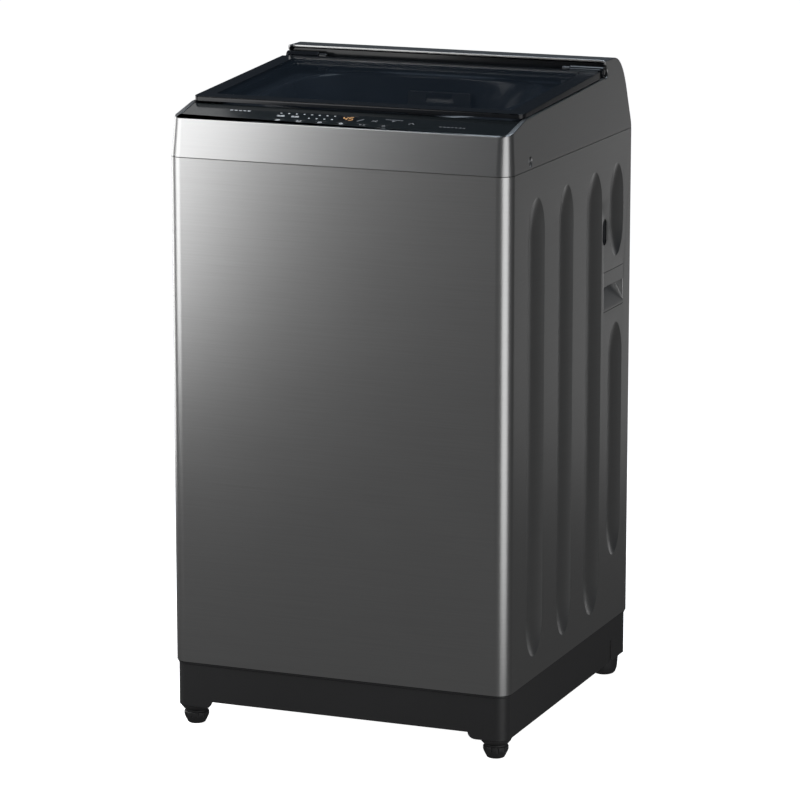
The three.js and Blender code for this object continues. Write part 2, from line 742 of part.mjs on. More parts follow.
const spanX = (r, a, b, y, z, facets) => cylinderX(r, Math.min(a, b), Math.max(a, b), y, z, facets);

function topFrame() {
  const hollow = topBody(TOP_WALL, TOP_SKIN);
  const floor = prismZ(plan(TOP_WALL), seamZ - OVER, seamZ + 1);
  const consoleY = hingeY + BARREL_RADIUS + NOTCH_CLEARANCE + 1;
  const frontEdge = frontY + (TOP_FRONT_LEAN * FASCIA_HEIGHT) / TOP_HEIGHT + RIM_FRONT;
  const opening = roundedRect(-rimInnerX, rimInnerX, frontEdge, consoleY, OPENING_CORNER, 1);
  const skirt = cut(
    prismZ(plan(SHEET + GAP), seamZ - SKIRT, seamZ + 2),
    prismZ(plan(TOP_WALL), seamZ - SKIRT - OVER, seamZ + OVER),
  );
  let frame = cut(topBody(0, 0), hollow, floor, prismZ(opening, seamZ - OVER, OVERALL_HEIGHT + OVER));
  frame = frame.add(skirt);
  for (const { sign } of sides) {
    const { x, y, z } = screwPlace(sign);
    const { recess, recessDepth, keyhole, keyholeDrop, boss, bossDepth, shank } = TOP_SCREW;
    const out = x + sign * OVER;
    const seat = x - sign * recessDepth;
    frame = frame.add(spanX(boss, x - sign * (TOP_WALL / 2), x - sign * bossDepth, y, z + boss / 2));
    frame = frame.subtract(spanX(recess, out, seat, y, z));
    frame = frame.subtract(spanX(keyhole, out, seat + sign, y, z - keyholeDrop, 12));
    frame = frame.subtract(spanX(shank + GAP, x, x - sign * (bossDepth + OVER), y, z, 12));
  }
  const nozzleZ = seamZ + VALVE.rise;
  frame = frame.subtract(cylinderY(VALVE.hole, rearY - 30, rearY + OVER, VALVE.x, nozzleZ, 16));
  piece("top_frame", frame, titaniumPlastic);
}

function topScrew({ side, sign }) {
  const { x, y, z } = screwPlace(sign);
  const { head, headHeight, shank, length, slotWidth, slotDepth, recessDepth } = TOP_SCREW;
  const seat = x - sign * (recessDepth - GAP);
  const face = seat + sign * headHeight;
  const cap = spanX(head, seat, face, y, z, 16);
  const thread = spanX(shank, seat + sign * LAP, seat - sign * length, y, z, 12);
  const slot = (ry, rz) =>
    box(face - slotDepth, face + slotDepth, y - ry, y + ry, z - rz, z + rz);
  const reach = head * 0.56;
  const made = cut(join(cap, thread), slot(reach, slotWidth / 2), slot(slotWidth / 2, reach));
  piece("top_screw_" + side, made, zincSteel);
}

// ---------------------------------------------------------------- control panel
const panelFrontY = frontY + (TOP_FRONT_LEAN * FASCIA_HEIGHT) / TOP_HEIGHT + RIM_FRONT + GAP;
const panelFrontZ = seamZ + FASCIA_HEIGHT;
const panelRearY = lidFrontY - PANEL_REAR_GAP;
const panelAngle = Math.atan2(RIM_FRONT_HEIGHT - FASCIA_HEIGHT, slopeRearY - slopeFrontY);
const panelLength = (panelRearY - panelFrontY) / Math.cos(panelAngle);

// Pieces of the panel are drawn flat, y running up the slope, and tilted by their group.
function controlPanel(parent) {
  const x = rimInnerX - GAP;
  let panel = prismZ(roundedRect(-x, x, 0, panelLength, OPENING_CORNER - 1, 1), -PANEL_THICK, 0);
  const cutRect = (cx, cy, width, depth) =>
    box(cx - width / 2 - GAP, cx + width / 2 + GAP, cy - depth / 2 - GAP, cy + depth / 2 + GAP,
      -PANEL_THICK - OVER, OVER);
  for (const key of KEYS) panel = panel.subtract(cutRect(key.x, KEY_LINE, KEY.width, KEY.depth));
  panel = panel.subtract(cutRect(DISPLAY.x, DISPLAY.line, DISPLAY.width, DISPLAY.depth));
  piece("control_panel", panel, blackGloss, parent);
}

function key({ name, x }, parent) {
  const { width, depth, thick, stem, stemWidth } = KEY;
  const cap = box(-width / 2, width / 2, -depth / 2, depth / 2, -thick, 0);
  const half = stemWidth / 2;
  const post = box(-half, half, -half, half, -thick - stem, -thick + LAP);
  const mesh = piece(name, join(cap, post), blackGloss, parent);
  mesh.position.set(x, KEY_LINE, 0);
}

function displayWindow(parent) {
  const { x, line, width, depth, thick } = DISPLAY;
  const pane = box(x - width / 2, x + width / 2, line - depth / 2, line + depth / 2, -thick, 0);
  piece("display_window", pane, smokedGlass, parent);
}

function circuitBoard(parent) {
  const { x, width, depth, thick, drop, beforeKeys } = BOARD;
  const y0 = KEY_LINE - beforeKeys;
  const plate = box(x - width / 2, x + width / 2, y0, y0 + depth, -drop - thick, -drop);
  const under = -drop - thick;
  const mounted = ({ from, width: w, back, depth: d, tall }) =>
    box(x + from, x + from + w, y0 + back, y0 + back + d, under - tall, under + LAP);
  piece("circuit_board", join(plate, mounted(CHIP), mounted(SOCKET)), boardGreen, parent);
}

// ---------------------------------------------------------------- inner deck
function superellipse(halfX, halfY, power, centreY, count = ROUND) {
  return Array.from({ length: count }, (_, i) => {
    const angle = (2 * Math.PI * i) / count;
    const c = Math.cos(angle);
    const s = Math.sin(angle);
    const x = halfX * Math.sign(c) * Math.abs(c) ** (2 / power);
    const y = halfY * Math.sign(s) * Math.abs(s) ** (2 / power);
    return [x, y + centreY];
  });
}

function funnel(grow) {
  const { halfWidth: mouthX, halfDepth: mouthY, forward, power } = MOUTH;
  const low = superellipse(THROAT_RADIUS + grow, THROAT_RADIUS + grow, 2, 0);
  const high = superellipse(mouthX + grow, mouthY + grow, power, -forward);
  return loft(low, seamZ + THROAT_RISE, high, rimZ(hingeY) + MOUTH.above);
}

function innerDeck() {
  const x = rimInnerX - GAP;
  const y0 = lidFrontY + 0.5;
  const wallY = hingeY + BARREL_RADIUS + DECK_WALL.behindBarrel;
  const y1 = wallY + DECK_THICK;
  const surface = (y) => rimZ(y) - DECK_DROP;
  const plate = outlineShape([
    [y0, surface(y0) - DECK_THICK],
    [y1, surface(y1) - DECK_THICK],
    [y1, surface(y1)],
    [y0, surface(y0)],
  ]);
  const below = outlineShape([
    [y0 - BEYOND, seamZ - BEYOND],
    [y1 + BEYOND, seamZ - BEYOND],
    [y1 + BEYOND, surface(y1 + BEYOND)],
    [y0 - BEYOND, surface(y0 - BEYOND)],
  ]);
  let deck = join(prismX(plate, -x, x), funnel(FUNNEL_WALL).intersect(prismX(below, -x, x)));
  const trough = funnel(0);
  const throat = cylinder(THROAT_RADIUS - FUNNEL_WALL, seamZ - BEYOND, seamZ + OVER, 0, 0, ROUND);
  deck = cut(deck, trough, throat);
  const backTop = OVERALL_HEIGHT - TOP_SKIN - GAP;
  const wallX = x - DECK_WALL.inset;
  deck = deck.add(box(-wallX, wallX, wallY, y1, surface(wallY) - DECK_THICK, backTop));
  for (const { sign } of sides) {
    const outerX = lidHalfWidth - GAP - BARREL_LENGTH - FIT;
    const a = sign * outerX;
    const b = sign * (outerX - EAR.thick);
    const ear = box(Math.min(a, b), Math.max(a, b), hingeY - EAR.depth / 2, wallY + 1,
      surface(hingeY) - 2, hingeZ + EAR.height / 2);
    const bore = spanX(PIN_RADIUS + GAP, a + sign * OVER, b - sign * OVER, hingeY, hingeZ);
    deck = deck.add(ear).subtract(bore);
  }
  const { width, height, rise } = DRAWER;
  const half = width / 2 + FIT;
  const z = seamZ + rise;
  const window = box(-half, half, THROAT_RADIUS / 2, wallY - 2, z - FIT, z + height + FIT);
  deck = cut(deck, window);
  piece("inner_deck", deck, blackPlastic);
}

// ---------------------------------------------------------------- lid
const lidBottomZ = (y) => rimZ(y) + LID_LIFT;
const lidRearY = hingeY - Math.hypot(EAR.depth, EAR.height) / 2 - FIT; // clears the ears as it turns
const lidTopFrontZ = lidBottomZ(lidFrontY) + LID.front;
const lidTopRearZ = lidBottomZ(lidRearY) + LID.rear;
const lidAngle = Math.atan2(lidTopRearZ - lidTopFrontZ, lidRearY - lidFrontY);
const lidLength = (lidRearY - lidFrontY) / Math.cos(lidAngle);

function lidPane(inset) {
  const x = lidHalfWidth - LID.border - inset;
  const y0 = LID.border + inset;
  const y1 = lidLength - LID.rearBorder - inset;
  const r = LID.paneCorner;
  return roundedRect(-x, x, y0, y1, r, r, 3);
}

function lidFrame() {
  const side = outlineShape([
    [lidFrontY, lidBottomZ(lidFrontY)],
    [lidRearY, lidBottomZ(lidRearY)],
    [lidRearY, lidTopRearZ],
    [lidFrontY + LID_EDGE.run, lidTopFrontZ + LID_EDGE.run * Math.tan(lidAngle)],
    [lidFrontY, lidTopFrontZ - LID_EDGE.drop],
  ]);
  const flat = roundedRect(-lidHalfWidth, lidHalfWidth, lidFrontY, lidRearY, LID.corner, 1);
  let frame = prismX(side, -halfWidth, halfWidth);
  frame = frame.intersect(prismZ(flat, seamZ, OVERALL_HEIGHT));
  const lipReach = hingeY - BARREL_RADIUS * 2.5;
  for (const { sign } of sides) {
    const x = sign * (rimInnerX + lidHalfWidth) / 2;
    const half = (lidHalfWidth - rimInnerX) / 2 + 1;
    frame = frame.subtract(box(x - half, x + half, lipReach, hingeY, seamZ, OVERALL_HEIGHT));
  }
  const pocketDepth = LID.glassSunk + LID.glass + GAP;
  const sunk = (points, z0, z1) => {
    const shape = new THREE.Shape(points.map(([x, y]) => new THREE.Vector2(x, y)));
    const geometry = new THREE.ExtrudeGeometry(shape, { depth: z1 - z0, bevelEnabled: false });
    return solid(tilt(geometry.translate(0, 0, z0), lidAngle, lidFrontY, lidTopFrontZ));
  };
  frame = cut(frame, sunk(lidPane(-GAP), -pocketDepth, BEYOND), sunk(lidPane(LID.ledge), -BEYOND, BEYOND));
  for (const { sign } of sides) {
    const a = sign * (lidHalfWidth - GAP);
    const b = sign * (lidHalfWidth - GAP - BARREL_LENGTH);
    const x0 = Math.min(a, b);
    const x1 = Math.max(a, b);
    const neckX = [sign * (rimInnerX - 1), b].sort((m, n) => m - n);
    const neck = outlineShape([
      [lidRearY - 1, lidBottomZ(lidRearY) + 1],
      [hingeY, hingeZ - BARREL_RADIUS + 1],
      [hingeY, hingeZ + BARREL_RADIUS - 3],
      [lidRearY - 1, lidTopRearZ - 0.3],
    ]);
    frame = join(frame, cylinderX(BARREL_RADIUS, x0, x1, hingeY, hingeZ, 16), prismX(neck, ...neckX));
    const boreEnd = sign * (lidHalfWidth - GAP - BARREL_LENGTH / 3);
    frame = frame.subtract(spanX(PIN_RADIUS + GAP, b - sign * OVER, boreEnd, hingeY, hingeZ));
  }
  piece("lid_frame", frame, blackGloss);
}

function lidGlass(parent) {
  const top = -LID.glassSunk;
  piece("lid_glass", prismZ(lidPane(0), top - LID.glass, top), smokedGlass, parent);
}

function hingePin({ side, sign }) {
  const outer = sign * (lidHalfWidth - GAP - BARREL_LENGTH / 3 - 2);
  const inner = sign * (lidHalfWidth - GAP - BARREL_LENGTH - FIT - EAR.thick);
  piece("hinge_pin_" + side, spanX(PIN_RADIUS, inner, outer, hingeY, hingeZ, 16), zincSteel);
}

// ---------------------------------------------------------------- detergent drawer
function detergentDrawer() {
  const { width, height, length, wall, rise, plate, plateLap } = DRAWER;
  const x = width / 2;
  const y0 = rearY - DRAWER_FROM_REAR;
  const z = seamZ + rise;
  const front = box(-x - plateLap, x + plateLap, y0 - plate, y0, z - plateLap, z + height + plateLap);
  const tray = box(-x, x, y0 - 1, y0 + length, z, z + height);
  const half = (width - 3 * wall) / 2;
  const pocket = (cx) =>
    box(cx - half / 2, cx + half / 2, y0 + wall, y0 + length - wall, z + wall, z + height + OVER);
  const offset = half / 2 + wall / 2;
  piece("detergent_drawer", cut(join(front, tray), pocket(-offset), pocket(offset)), whitePlastic);
}

function drawerHousing() {
  const { width, height, length, rise } = DRAWER;
  const x = width / 2 + FIT;
  const y0 = THROAT_RADIUS + FUNNEL_WALL + HOUSING_GAP;
  const y1 = rearY - DRAWER_FROM_REAR + length + FIT;
  const z = seamZ + rise;
  const w = HOUSING_WALL;
  const body = box(-x - w, x + w, y0, y1 + w, z - FIT - w, z + height + FIT + w);
  const hollow = box(-x, x, y0 - OVER, y1, z - FIT, z + height + FIT);
  const { halfWidth: s, from, length: run } = SPOUT;
  const spout = box(-s, s, y0 + from, y0 + from + run, z - FIT - OVER, z);
  piece("drawer_housing", cut(body, hollow, spout), whitePlastic);
}

function waterInletValve() {
  const { x, rise, nozzle, bore, boreDepth, body, port, portWall, coilRadius, coilHeight } = VALVE;
  const z = seamZ + rise;
  const y1 = rearY - VALVE.fromRear;
  const middleY = y1 - body / 2;
  const block = box(x - body / 2, x + body / 2, y1 - body, y1, z - body / 2, z + body / 2);
  const spigot = cylinderY(nozzle, y1 - LAP, rearY - PIPE_END, x, z, 16);
  const reach = DRAWER.width / 2 + FIT + HOUSING_WALL + 1;
  const outlet = spanX(port, x, reach, middleY, z, 16);
  const top = z + body / 2;
  const coil = cylinder(coilRadius, top - LAP, top + coilHeight, x, middleY, 16);
  const inside = cylinderY(bore, y1 - boreDepth, rearY + OVER, x, z, 14);
  const portBore = spanX(port - portWall, x - OVER, reach - OVER, middleY, z, 12);
  piece("water_inlet_valve", cut(join(block, spigot, outlet, coil), inside, portBore), whitePlastic);
}

// ---------------------------------------------------------------- tub
function outerTub() {
  const r = tubRadius;
  const w = TUB_WALL;
  const chamfer = TUB_CHAMFER;
  const z0 = tubFloorZ;
  const shell = lathe([
    [TUB_HOLE, z0],
    [r - chamfer, z0],
    [r, z0 + chamfer],
    [r, tubTopZ],
    [r - w, tubTopZ],
    [r - w, z0 + chamfer + 1],
    [r - chamfer - 1, z0 + w],
    [TUB_HOLE, z0 + w],
  ]);
  const lugs = corners.map(({ sx, sy }) => {
    const angle = Math.atan2(sy * rodY, sx * rodX);
    const far = Math.hypot(rodX, rodY) + LUG.beyondRod;
    const arm = boxGeometry(r - w * 0.7, far, -LUG.width / 2, LUG.width / 2, lugZ, lugZ + LUG.thick);
    return solid(arm.rotateZ(angle));
  });
  let tub = join(shell, ...lugs);
  for (const { sx, sy } of corners) {
    tub = tub.subtract(
      cylinder(ROD_RADIUS + LUG.play, lugZ - OVER, lugZ + LUG.thick + OVER, sx * rodX, sy * rodY, 16),
    );
  }
  tub = tub.subtract(cylinder(DRAIN.bore, z0 - OVER, z0 + OVER, DRAIN.x, drainY, 16));
  piece("outer_tub", tub, tubPlastic);
}

function tubCover() {
  const r = tubRadius;
  const z0 = tubTopZ + GAP;
  const { height, lap, out, skirt, rise, wall } = COVER;
  const ring = lathe([
    [r + out, z0 - skirt],
    [r + out, z0 + rise],
    [r - lap + rise, z0 + height],
    [r - lap, z0 + height],
    [r - lap, z0 + height - wall],
    [r - TUB_WALL, z0],
    [r + GAP, z0],
    [r + GAP, z0 - skirt],
  ]);
  piece("tub_cover", ring, tubPlastic);
}

function supportBracket() {
  const z1 = tubFloorZ - GAP;
  const half = BRACKET.width / 2;
  const reach = MOTOR.distance + MOTOR.radius;
  const plate = box(-half, half, -reach, half, z1 - BRACKET.thick, z1);
  const hole = cylinder(TUB_HOLE, z1 - BRACKET.thick - OVER, z1 + OVER, 0, 0, 18);
  piece("support_bracket", cut(plate, hole), zincSteel);
}

function clutchHousing() {
  const z1 = tubFloorZ - GAP - BRACKET.thick - GAP;
  const { radius, length, flange, flangeThick, shoulder } = CLUTCH;
  const bore = SLEEVE_RADIUS + FIT;
  const body = lathe([
    [bore, z1 - length],
    [radius - shoulder, z1 - length],
    [radius, z1 - length + shoulder],
    [radius, z1 - flangeThick],
    [flange, z1 - flangeThick],
    [flange, z1],
    [bore, z1],
  ], 28);
  piece("clutch_housing", body, castAluminium);
}

function motor() {
  const z1 = tubFloorZ - GAP - BRACKET.thick - GAP;
  const { distance, radius, length, nose: noseRadius, noseLength } = MOTOR;
  const z0 = z1 - length;
  const can = cylinder(radius, z0 + noseLength, z1, 0, -distance, 24);
  const nose = cylinder(noseRadius, z0, z0 + noseLength + LAP, 0, -distance, 18);
  const boreTop = z0 + ROTOR_DEPTH + 2 * OVER;
  const bore = cylinder(MOTOR.shaft + FIT, z0 - OVER, boreTop, 0, -distance, 16);
  piece("motor", cut(join(can, nose), bore), zincSteel);
}

function grooved(radius, bore, x, y) {
  const half = BELT.width / 2 + 1;
  const rim = radius + PULLEY_FLANGE;
  return lathe([
    [bore, beltZ - half - 3],
    [rim, beltZ - half - 3],
    [rim, beltZ - half],
    [radius, beltZ - half],
    [radius, beltZ + half],
    [rim, beltZ + half],
    [rim, beltZ + half + 3],
    [bore, beltZ + half + 3],
  ], 20, x, y);
}

function motorPulley() {
  const y = -MOTOR.distance;
  const top = tubFloorZ - 2 * GAP - BRACKET.thick - MOTOR.length + ROTOR_DEPTH;
  const wheel = grooved(MOTOR_PULLEY_RADIUS, 3, 0, y);
  const shaft = cylinder(MOTOR.shaft, beltZ - BELT.width, top, 0, y, 16);
  piece("motor_pulley", join(wheel, shaft), zincSteel);
}

function drivePulley() {
  const wheel = grooved(PULLEY_RADIUS, SHAFT_RADIUS + GAP, 0, 0);
  const z1 = beltZ + BELT.width / 2 + 6;
  const z0 = beltZ - BELT.width / 2 - 6;
  const window = (i) => {
    const angle = (i * Math.PI) / 2;
    const r = PULLEY_RADIUS * 0.58;
    return cylinder(PULLEY_RADIUS * 0.22, z0, z1, r * Math.cos(angle), r * Math.sin(angle), 12);
  };
  piece("drive_pulley", cut(wheel, ...[0, 1, 2, 3].map(window)), castAluminium);
}

// Outline around both pulleys: two arcs joined by the outer tangents.
function beltOutline(rBig, rSmall, steps = 16) {
  const lean = Math.asin((rBig - rSmall) / MOTOR.distance);
  const arc = (cy, r, start, end) =>
    Array.from({ length: steps + 1 }, (_, i) => {
      const angle = start + ((end - start) * i) / steps;
      return [r * Math.cos(angle), cy + r * Math.sin(angle)];
    });
  return [
    ...arc(0, rBig, -lean, Math.PI + lean),
    ...arc(-MOTOR.distance, rSmall, Math.PI + lean, 2 * Math.PI - lean),
  ];
}

function driveBelt() {
  const { width, thick, clearance } = BELT;
  const big = PULLEY_RADIUS + clearance;
  const small = MOTOR_PULLEY_RADIUS + clearance;
  const outer = prismZ(beltOutline(big + thick, small + thick), beltZ - width / 2, beltZ + width / 2);
  const inner = prismZ(beltOutline(big, small), beltZ - width, beltZ + width);
  piece("drive_belt", cut(outer, inner), beltRubber);
}

function drainValve() {
  const z1 = tubFloorZ - GAP;
  const { x, bore, bodyRadius, bodyHeight, pipe } = DRAIN;
  const z0 = z1 - bodyHeight;
  const body = cylinder(bodyRadius, z0 + 6, z1, x, drainY, 18);
  const actuator = box(x + bodyRadius - 4, x + bodyRadius + 34, drainY - 14, drainY + 14, z1 - 30, z1);
  const outlet = cylinder(pipe, z0, z0 + 8, x, drainY, 16);
  const inside = cylinder(bore, z0 - OVER, z1 + OVER, x, drainY, 16);
  piece("drain_valve", cut(join(body, actuator, outlet), inside), blackPlastic);
}

// Corrugated hose that shortens as the tub sinks.
const hoseTopZ = tubFloorZ - GAP - DRAIN.bodyHeight - GAP;
const hoseBottomZ = hoseTopZ - HOSE.length;
function drainHose() {
  const { radius, bore, waves } = HOSE;
  const step = (hoseTopZ - hoseBottomZ) / waves;
  const outer = [[radius - 3, hoseBottomZ]];
  for (let i = 0; i < waves; i++) {
    outer.push([radius, hoseBottomZ + step * (i + 0.5)]);
    outer.push([radius - 3, hoseBottomZ + step * (i + 1)]);
  }
  const made = lathe([...outer, [bore, hoseTopZ], [bore, hoseBottomZ]], 12, DRAIN.x, drainY);
  piece("drain_hose", made, blackPlastic);
}

function drainOutlet() {
  const { x, pipe, bore } = DRAIN;
  const top = hoseBottomZ - GAP;
  const upright = cylinder(pipe, drainLineZ - pipe, top, x, drainY, 16);
  const along = cylinderY(pipe, drainY, rearY - PIPE_END, x, drainLineZ, 16);
  const boreUp = cylinder(bore, drainLineZ, top + OVER, x, drainY, 16);
  const boreAlong = cylinderY(bore, drainY - bore / 2, rearY + OVER, x, drainLineZ, 16);
  piece("drain_outlet", cut(join(upright, along), boreUp, boreAlong), blackPlastic);
}

// ---------------------------------------------------------------- suspension
function suspensionRod({ corner, sx, sy }) {
  const x = sx * rodX;
  const y = sy * rodY;
  const shelf = seamZ - GUSSET.drop;
  const low = springBottomZ - GAP - SEAT.thick;
  const rod = cylinder(ROD_RADIUS, low - 6, shelf + ROD_BALL, x, y, 10);
  const ball = lathe([
    [0, shelf + GAP],
    [ROD_BALL, shelf + GAP],
    [ROD_BALL * 0.8, shelf + ROD_BALL * 0.8],
    [0, shelf + ROD_BALL * 1.1],
  ], 12, x, y);
  const seat = cone(SEAT.radius - 4, SEAT.radius, low, springBottomZ - GAP, x, y, 12);
  piece("suspension_rod_" + corner, join(rod, ball, seat), zincSteel);
}

class Coil extends THREE.Curve {
  constructor(radius, turns, height) {
    super();
    Object.assign(this, { radius, turns, height });
  }
  getPoint(t, target = new THREE.Vector3()) {
    const angle = 2 * Math.PI * this.turns * t;
    const x = this.radius * Math.cos(angle);
    const y = this.radius * Math.sin(angle);
    return target.set(x, y, this.height * t);
  }
}

function suspensionSpring({ corner, sx, sy }) {
  const { radius, wire, turns, length } = SPRING;
  const path = new Coil(radius, turns, length - 2 * wire);
  const section = new THREE.Shape([0, 1, 2, 3].map((i) => {
    const angle = (Math.PI / 2) * i;
    return new THREE.Vector2((wire / 2) * Math.cos(angle), (wire / 2) * Math.sin(angle));
  }));
  const steps = Math.round(turns * 7);
  const geometry = new THREE.ExtrudeGeometry(section, { steps, extrudePath: path, bevelEnabled: false });
  const mesh = piece("suspension_spring_" + corner, solid(geometry), springSteel);
  mesh.position.set(sx * rodX, sy * rodY, springBottomZ + wire);
}

// ---------------------------------------------------------------- basket and pulsator
function basket() {
  const r = basketRadius;
  const z0 = basketFloorZ + BASKET_FLOOR + GAP;
  const z1 = basketTopZ - BALANCE_RING.height - GAP;
  const drum = lathe([
    [r, z0],
    [r, z1],
    [r - BASKET_SHEET, z1],
    [r - BASKET_SHEET, z0],
  ]);
  piece("basket", drum, stainless);
}

function basketBase() {
  const z0 = basketFloorZ;
  const wall = basketRadius - BASKET_SHEET - GAP;
  const base = lathe([
    [SHAFT_RADIUS + 3, z0],
    [basketRadius, z0],
    [basketRadius, z0 + BASKET_FLOOR],
    [wall, z0 + BASKET_FLOOR],
    [wall, z0 + BASKET_PAN],
    [wall - 3, z0 + BASKET_PAN],
    [wall - 12, z0 + BASKET_FLOOR],
    [SHAFT_RADIUS + 3, z0 + BASKET_FLOOR],
  ]);
  piece("basket_base", base, tubPlastic);
}

function balanceRing() {
  const r = basketRadius;
  const { height, width, outerEdge, innerEdge } = BALANCE_RING;
  const z0 = basketTopZ - height;
  const ring = lathe([
    [r - width, z0],
    [r, z0],
    [r, basketTopZ - outerEdge],
    [r - outerEdge, basketTopZ],
    [r - width + innerEdge, basketTopZ],
    [r - width, basketTopZ - innerEdge],
  ]);
  piece("balance_ring", ring, blackPlastic);
}

function basketSleeve() {
  const low = tubFloorZ - 2 * GAP - BRACKET.thick - CLUTCH.length + 6;
  const z1 = basketFloorZ - GAP;
  const inner = SLEEVE_RADIUS - SLEEVE_WALL;
  const flange = lathe([
    [inner, low],
    [SLEEVE_RADIUS, low],
    [SLEEVE_RADIUS, z1 - 6],
    [SLEEVE_RADIUS * 4, z1 - 6],
    [SLEEVE_RADIUS * 4, z1],
    [inner, z1],
  ], 28);
  piece("basket_shaft", flange, zincSteel);
}

function lintFilter() {
  const r = basketRadius - BASKET_SHEET - GAP;
  const z = basketTopZ - BALANCE_RING.height - FILTER.drop - FILTER.height;
  const half = FILTER.width / 2;
  const back = cylinder(r - 1.5, z, z + FILTER.height, 0, 0, ROUND);
  const block = box(-half, half, r - FILTER.thick, r + OVER, z, z + FILTER.height);
  piece("lint_filter", block.intersect(back), whitePlastic);
}

const pulsatorZ = basketFloorZ + BASKET_FLOOR + PULSATOR.lift;
function pulsator() {
  const { radius, edge, dome, wings, wingHeight } = PULSATOR;
  const bore = SHAFT_RADIUS + GAP;
  const disc = lathe([
    [0, pulsatorZ + dome - 6],
    [bore, pulsatorZ + dome - 6],
    [bore, pulsatorZ],
    [radius - 6, pulsatorZ],
    [radius, pulsatorZ + edge],
    [radius - 8, pulsatorZ + edge + 4],
    [radius * 0.6, pulsatorZ + 8],
    [CAP.radius + 8, pulsatorZ + dome],
    [0, pulsatorZ + dome],
  ]);
  let made = disc;
  for (let i = 0; i < wings; i++) {
    const wing = new THREE.SphereGeometry(1, 12, 6)
      .scale(radius * 0.42, 15, wingHeight)
      .translate(radius * 0.52, 0, pulsatorZ + 6)
      .rotateZ((2 * Math.PI * i) / wings);
    const slab = cylinder(radius, pulsatorZ + 3, pulsatorZ + 60, 0, 0, ROUND);
    made = made.add(solid(wing).intersect(slab));
  }
  piece("pulsator", made, tubPlastic);
}

function pulsatorCap() {
  const z0 = pulsatorZ + PULSATOR.dome + GAP;
  const cap = lathe([
    [0, z0],
    [CAP.radius, z0],
    [CAP.radius - 2, z0 + CAP.thick - 1],
    [CAP.radius * 0.5, z0 + CAP.thick + 1],
    [0, z0 + CAP.thick + 2],
  ], 24);
  piece("pulsator_cap", cap, stainless);
}

function pulsatorShaft() {
  const z0 = beltZ - BELT.width / 2 - 5;
  const z1 = pulsatorZ + PULSATOR.dome - 6 - GAP;
  piece("pulsator_shaft", cylinder(SHAFT_RADIUS, z0, z1, 0, 0, 16), zincSteel);
}

// ---------------------------------------------------------------- assembly
const machine = new THREE.Group();
const panelGroup = new THREE.Group();
panelGroup.rotation.x = panelAngle;
panelGroup.position.set(0, panelFrontY, panelFrontZ);
const lidTopGroup = new THREE.Group();
lidTopGroup.rotation.x = lidAngle;
lidTopGroup.position.set(0, lidFrontY, lidTopFrontZ);
machine.add(panelGroup, lidTopGroup);

cabinet();
backPanel();
serviceCover();
cordGland();
baseFrame();
topFrame();
innerDeck();
for (const side of sides) {
  handleCup(side);
  sidePlug(side);
  levelingFoot(side);
  rearFoot(side);
  topScrew(side);
  hingePin(side);
}
controlPanel(panelGroup);
displayWindow(panelGroup);
circuitBoard(panelGroup);
for (const spec of KEYS) key(spec, panelGroup);
lidFrame();
lidGlass(lidTopGroup);
detergentDrawer();
drawerHousing();
waterInletValve();
outerTub();
tubCover();
supportBracket();
clutchHousing();
motor();
motorPulley();
drivePulley();
driveBelt();
drainValve();
drainHose();
drainOutlet();
for (const corner of corners) {
  suspensionRod(corner);
  suspensionSpring(corner);
}
basket();
basketBase();
balanceRing();
basketSleeve();
lintFilter();
pulsator();
pulsatorCap();
pulsatorShaft();

export default machine;
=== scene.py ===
# Looks of a top load washing machine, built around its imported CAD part.
# Shapes are drawn in millimetres in the CAD's frame, and piece() brings them to metres.
import math

import bmesh
import bpy
from mathutils import Matrix, Vector

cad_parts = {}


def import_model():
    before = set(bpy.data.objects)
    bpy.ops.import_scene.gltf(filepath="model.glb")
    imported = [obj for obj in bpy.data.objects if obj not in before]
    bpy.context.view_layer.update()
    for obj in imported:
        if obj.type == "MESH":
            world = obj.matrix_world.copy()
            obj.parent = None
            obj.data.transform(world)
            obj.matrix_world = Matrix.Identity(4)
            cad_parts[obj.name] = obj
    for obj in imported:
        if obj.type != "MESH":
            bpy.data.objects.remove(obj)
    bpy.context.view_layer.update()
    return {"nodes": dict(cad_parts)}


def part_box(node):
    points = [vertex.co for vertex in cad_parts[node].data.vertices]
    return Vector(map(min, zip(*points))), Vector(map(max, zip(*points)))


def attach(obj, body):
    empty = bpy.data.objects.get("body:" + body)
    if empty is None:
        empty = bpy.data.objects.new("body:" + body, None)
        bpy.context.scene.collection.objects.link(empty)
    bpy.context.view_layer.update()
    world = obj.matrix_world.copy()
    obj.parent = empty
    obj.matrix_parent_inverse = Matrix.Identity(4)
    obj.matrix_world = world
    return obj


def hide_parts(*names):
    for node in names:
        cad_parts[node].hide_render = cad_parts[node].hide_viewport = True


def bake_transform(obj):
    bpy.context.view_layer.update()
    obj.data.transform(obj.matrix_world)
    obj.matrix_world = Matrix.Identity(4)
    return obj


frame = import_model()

# ------------------------------------------------------------------ places from the CAD
MM = 0.001


def limits(node):
    """A CAD node's lowest and highest corner, in millimetres."""
    low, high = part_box(node)
    return low / MM, high / MM


GAP = 0.4
CABINET_LOW, CABINET_HIGH = limits("cabinet")
HALF = CABINET_HIGH.x
FRONT = CABINET_LOW.y
REAR = CABINET_HIGH.y
BASE_TOP = CABINET_LOW.z - GAP
SEAM = CABINET_HIGH.z + GAP
BASE_BOTTOM = 30.0
TOP = limits("top_frame")[1].z
PANEL_FRONT = limits("control_panel")[0].y
LID_FRONT = limits("lid_frame")[0].y
LID_HALF = limits("lid_frame")[1].x
RIM_INNER = limits("control_panel")[1].x + GAP
PIN_LOW, PIN_HIGH = limits("hinge_pin_right")
HINGE_Y = (PIN_LOW.y + PIN_HIGH.y) / 2
HINGE_Z = (PIN_LOW.z + PIN_HIGH.z) / 2
GLASS_TO_LID_REAR = 21.8
LID_REAR = limits("lid_glass")[1].y + GLASS_TO_LID_REAR

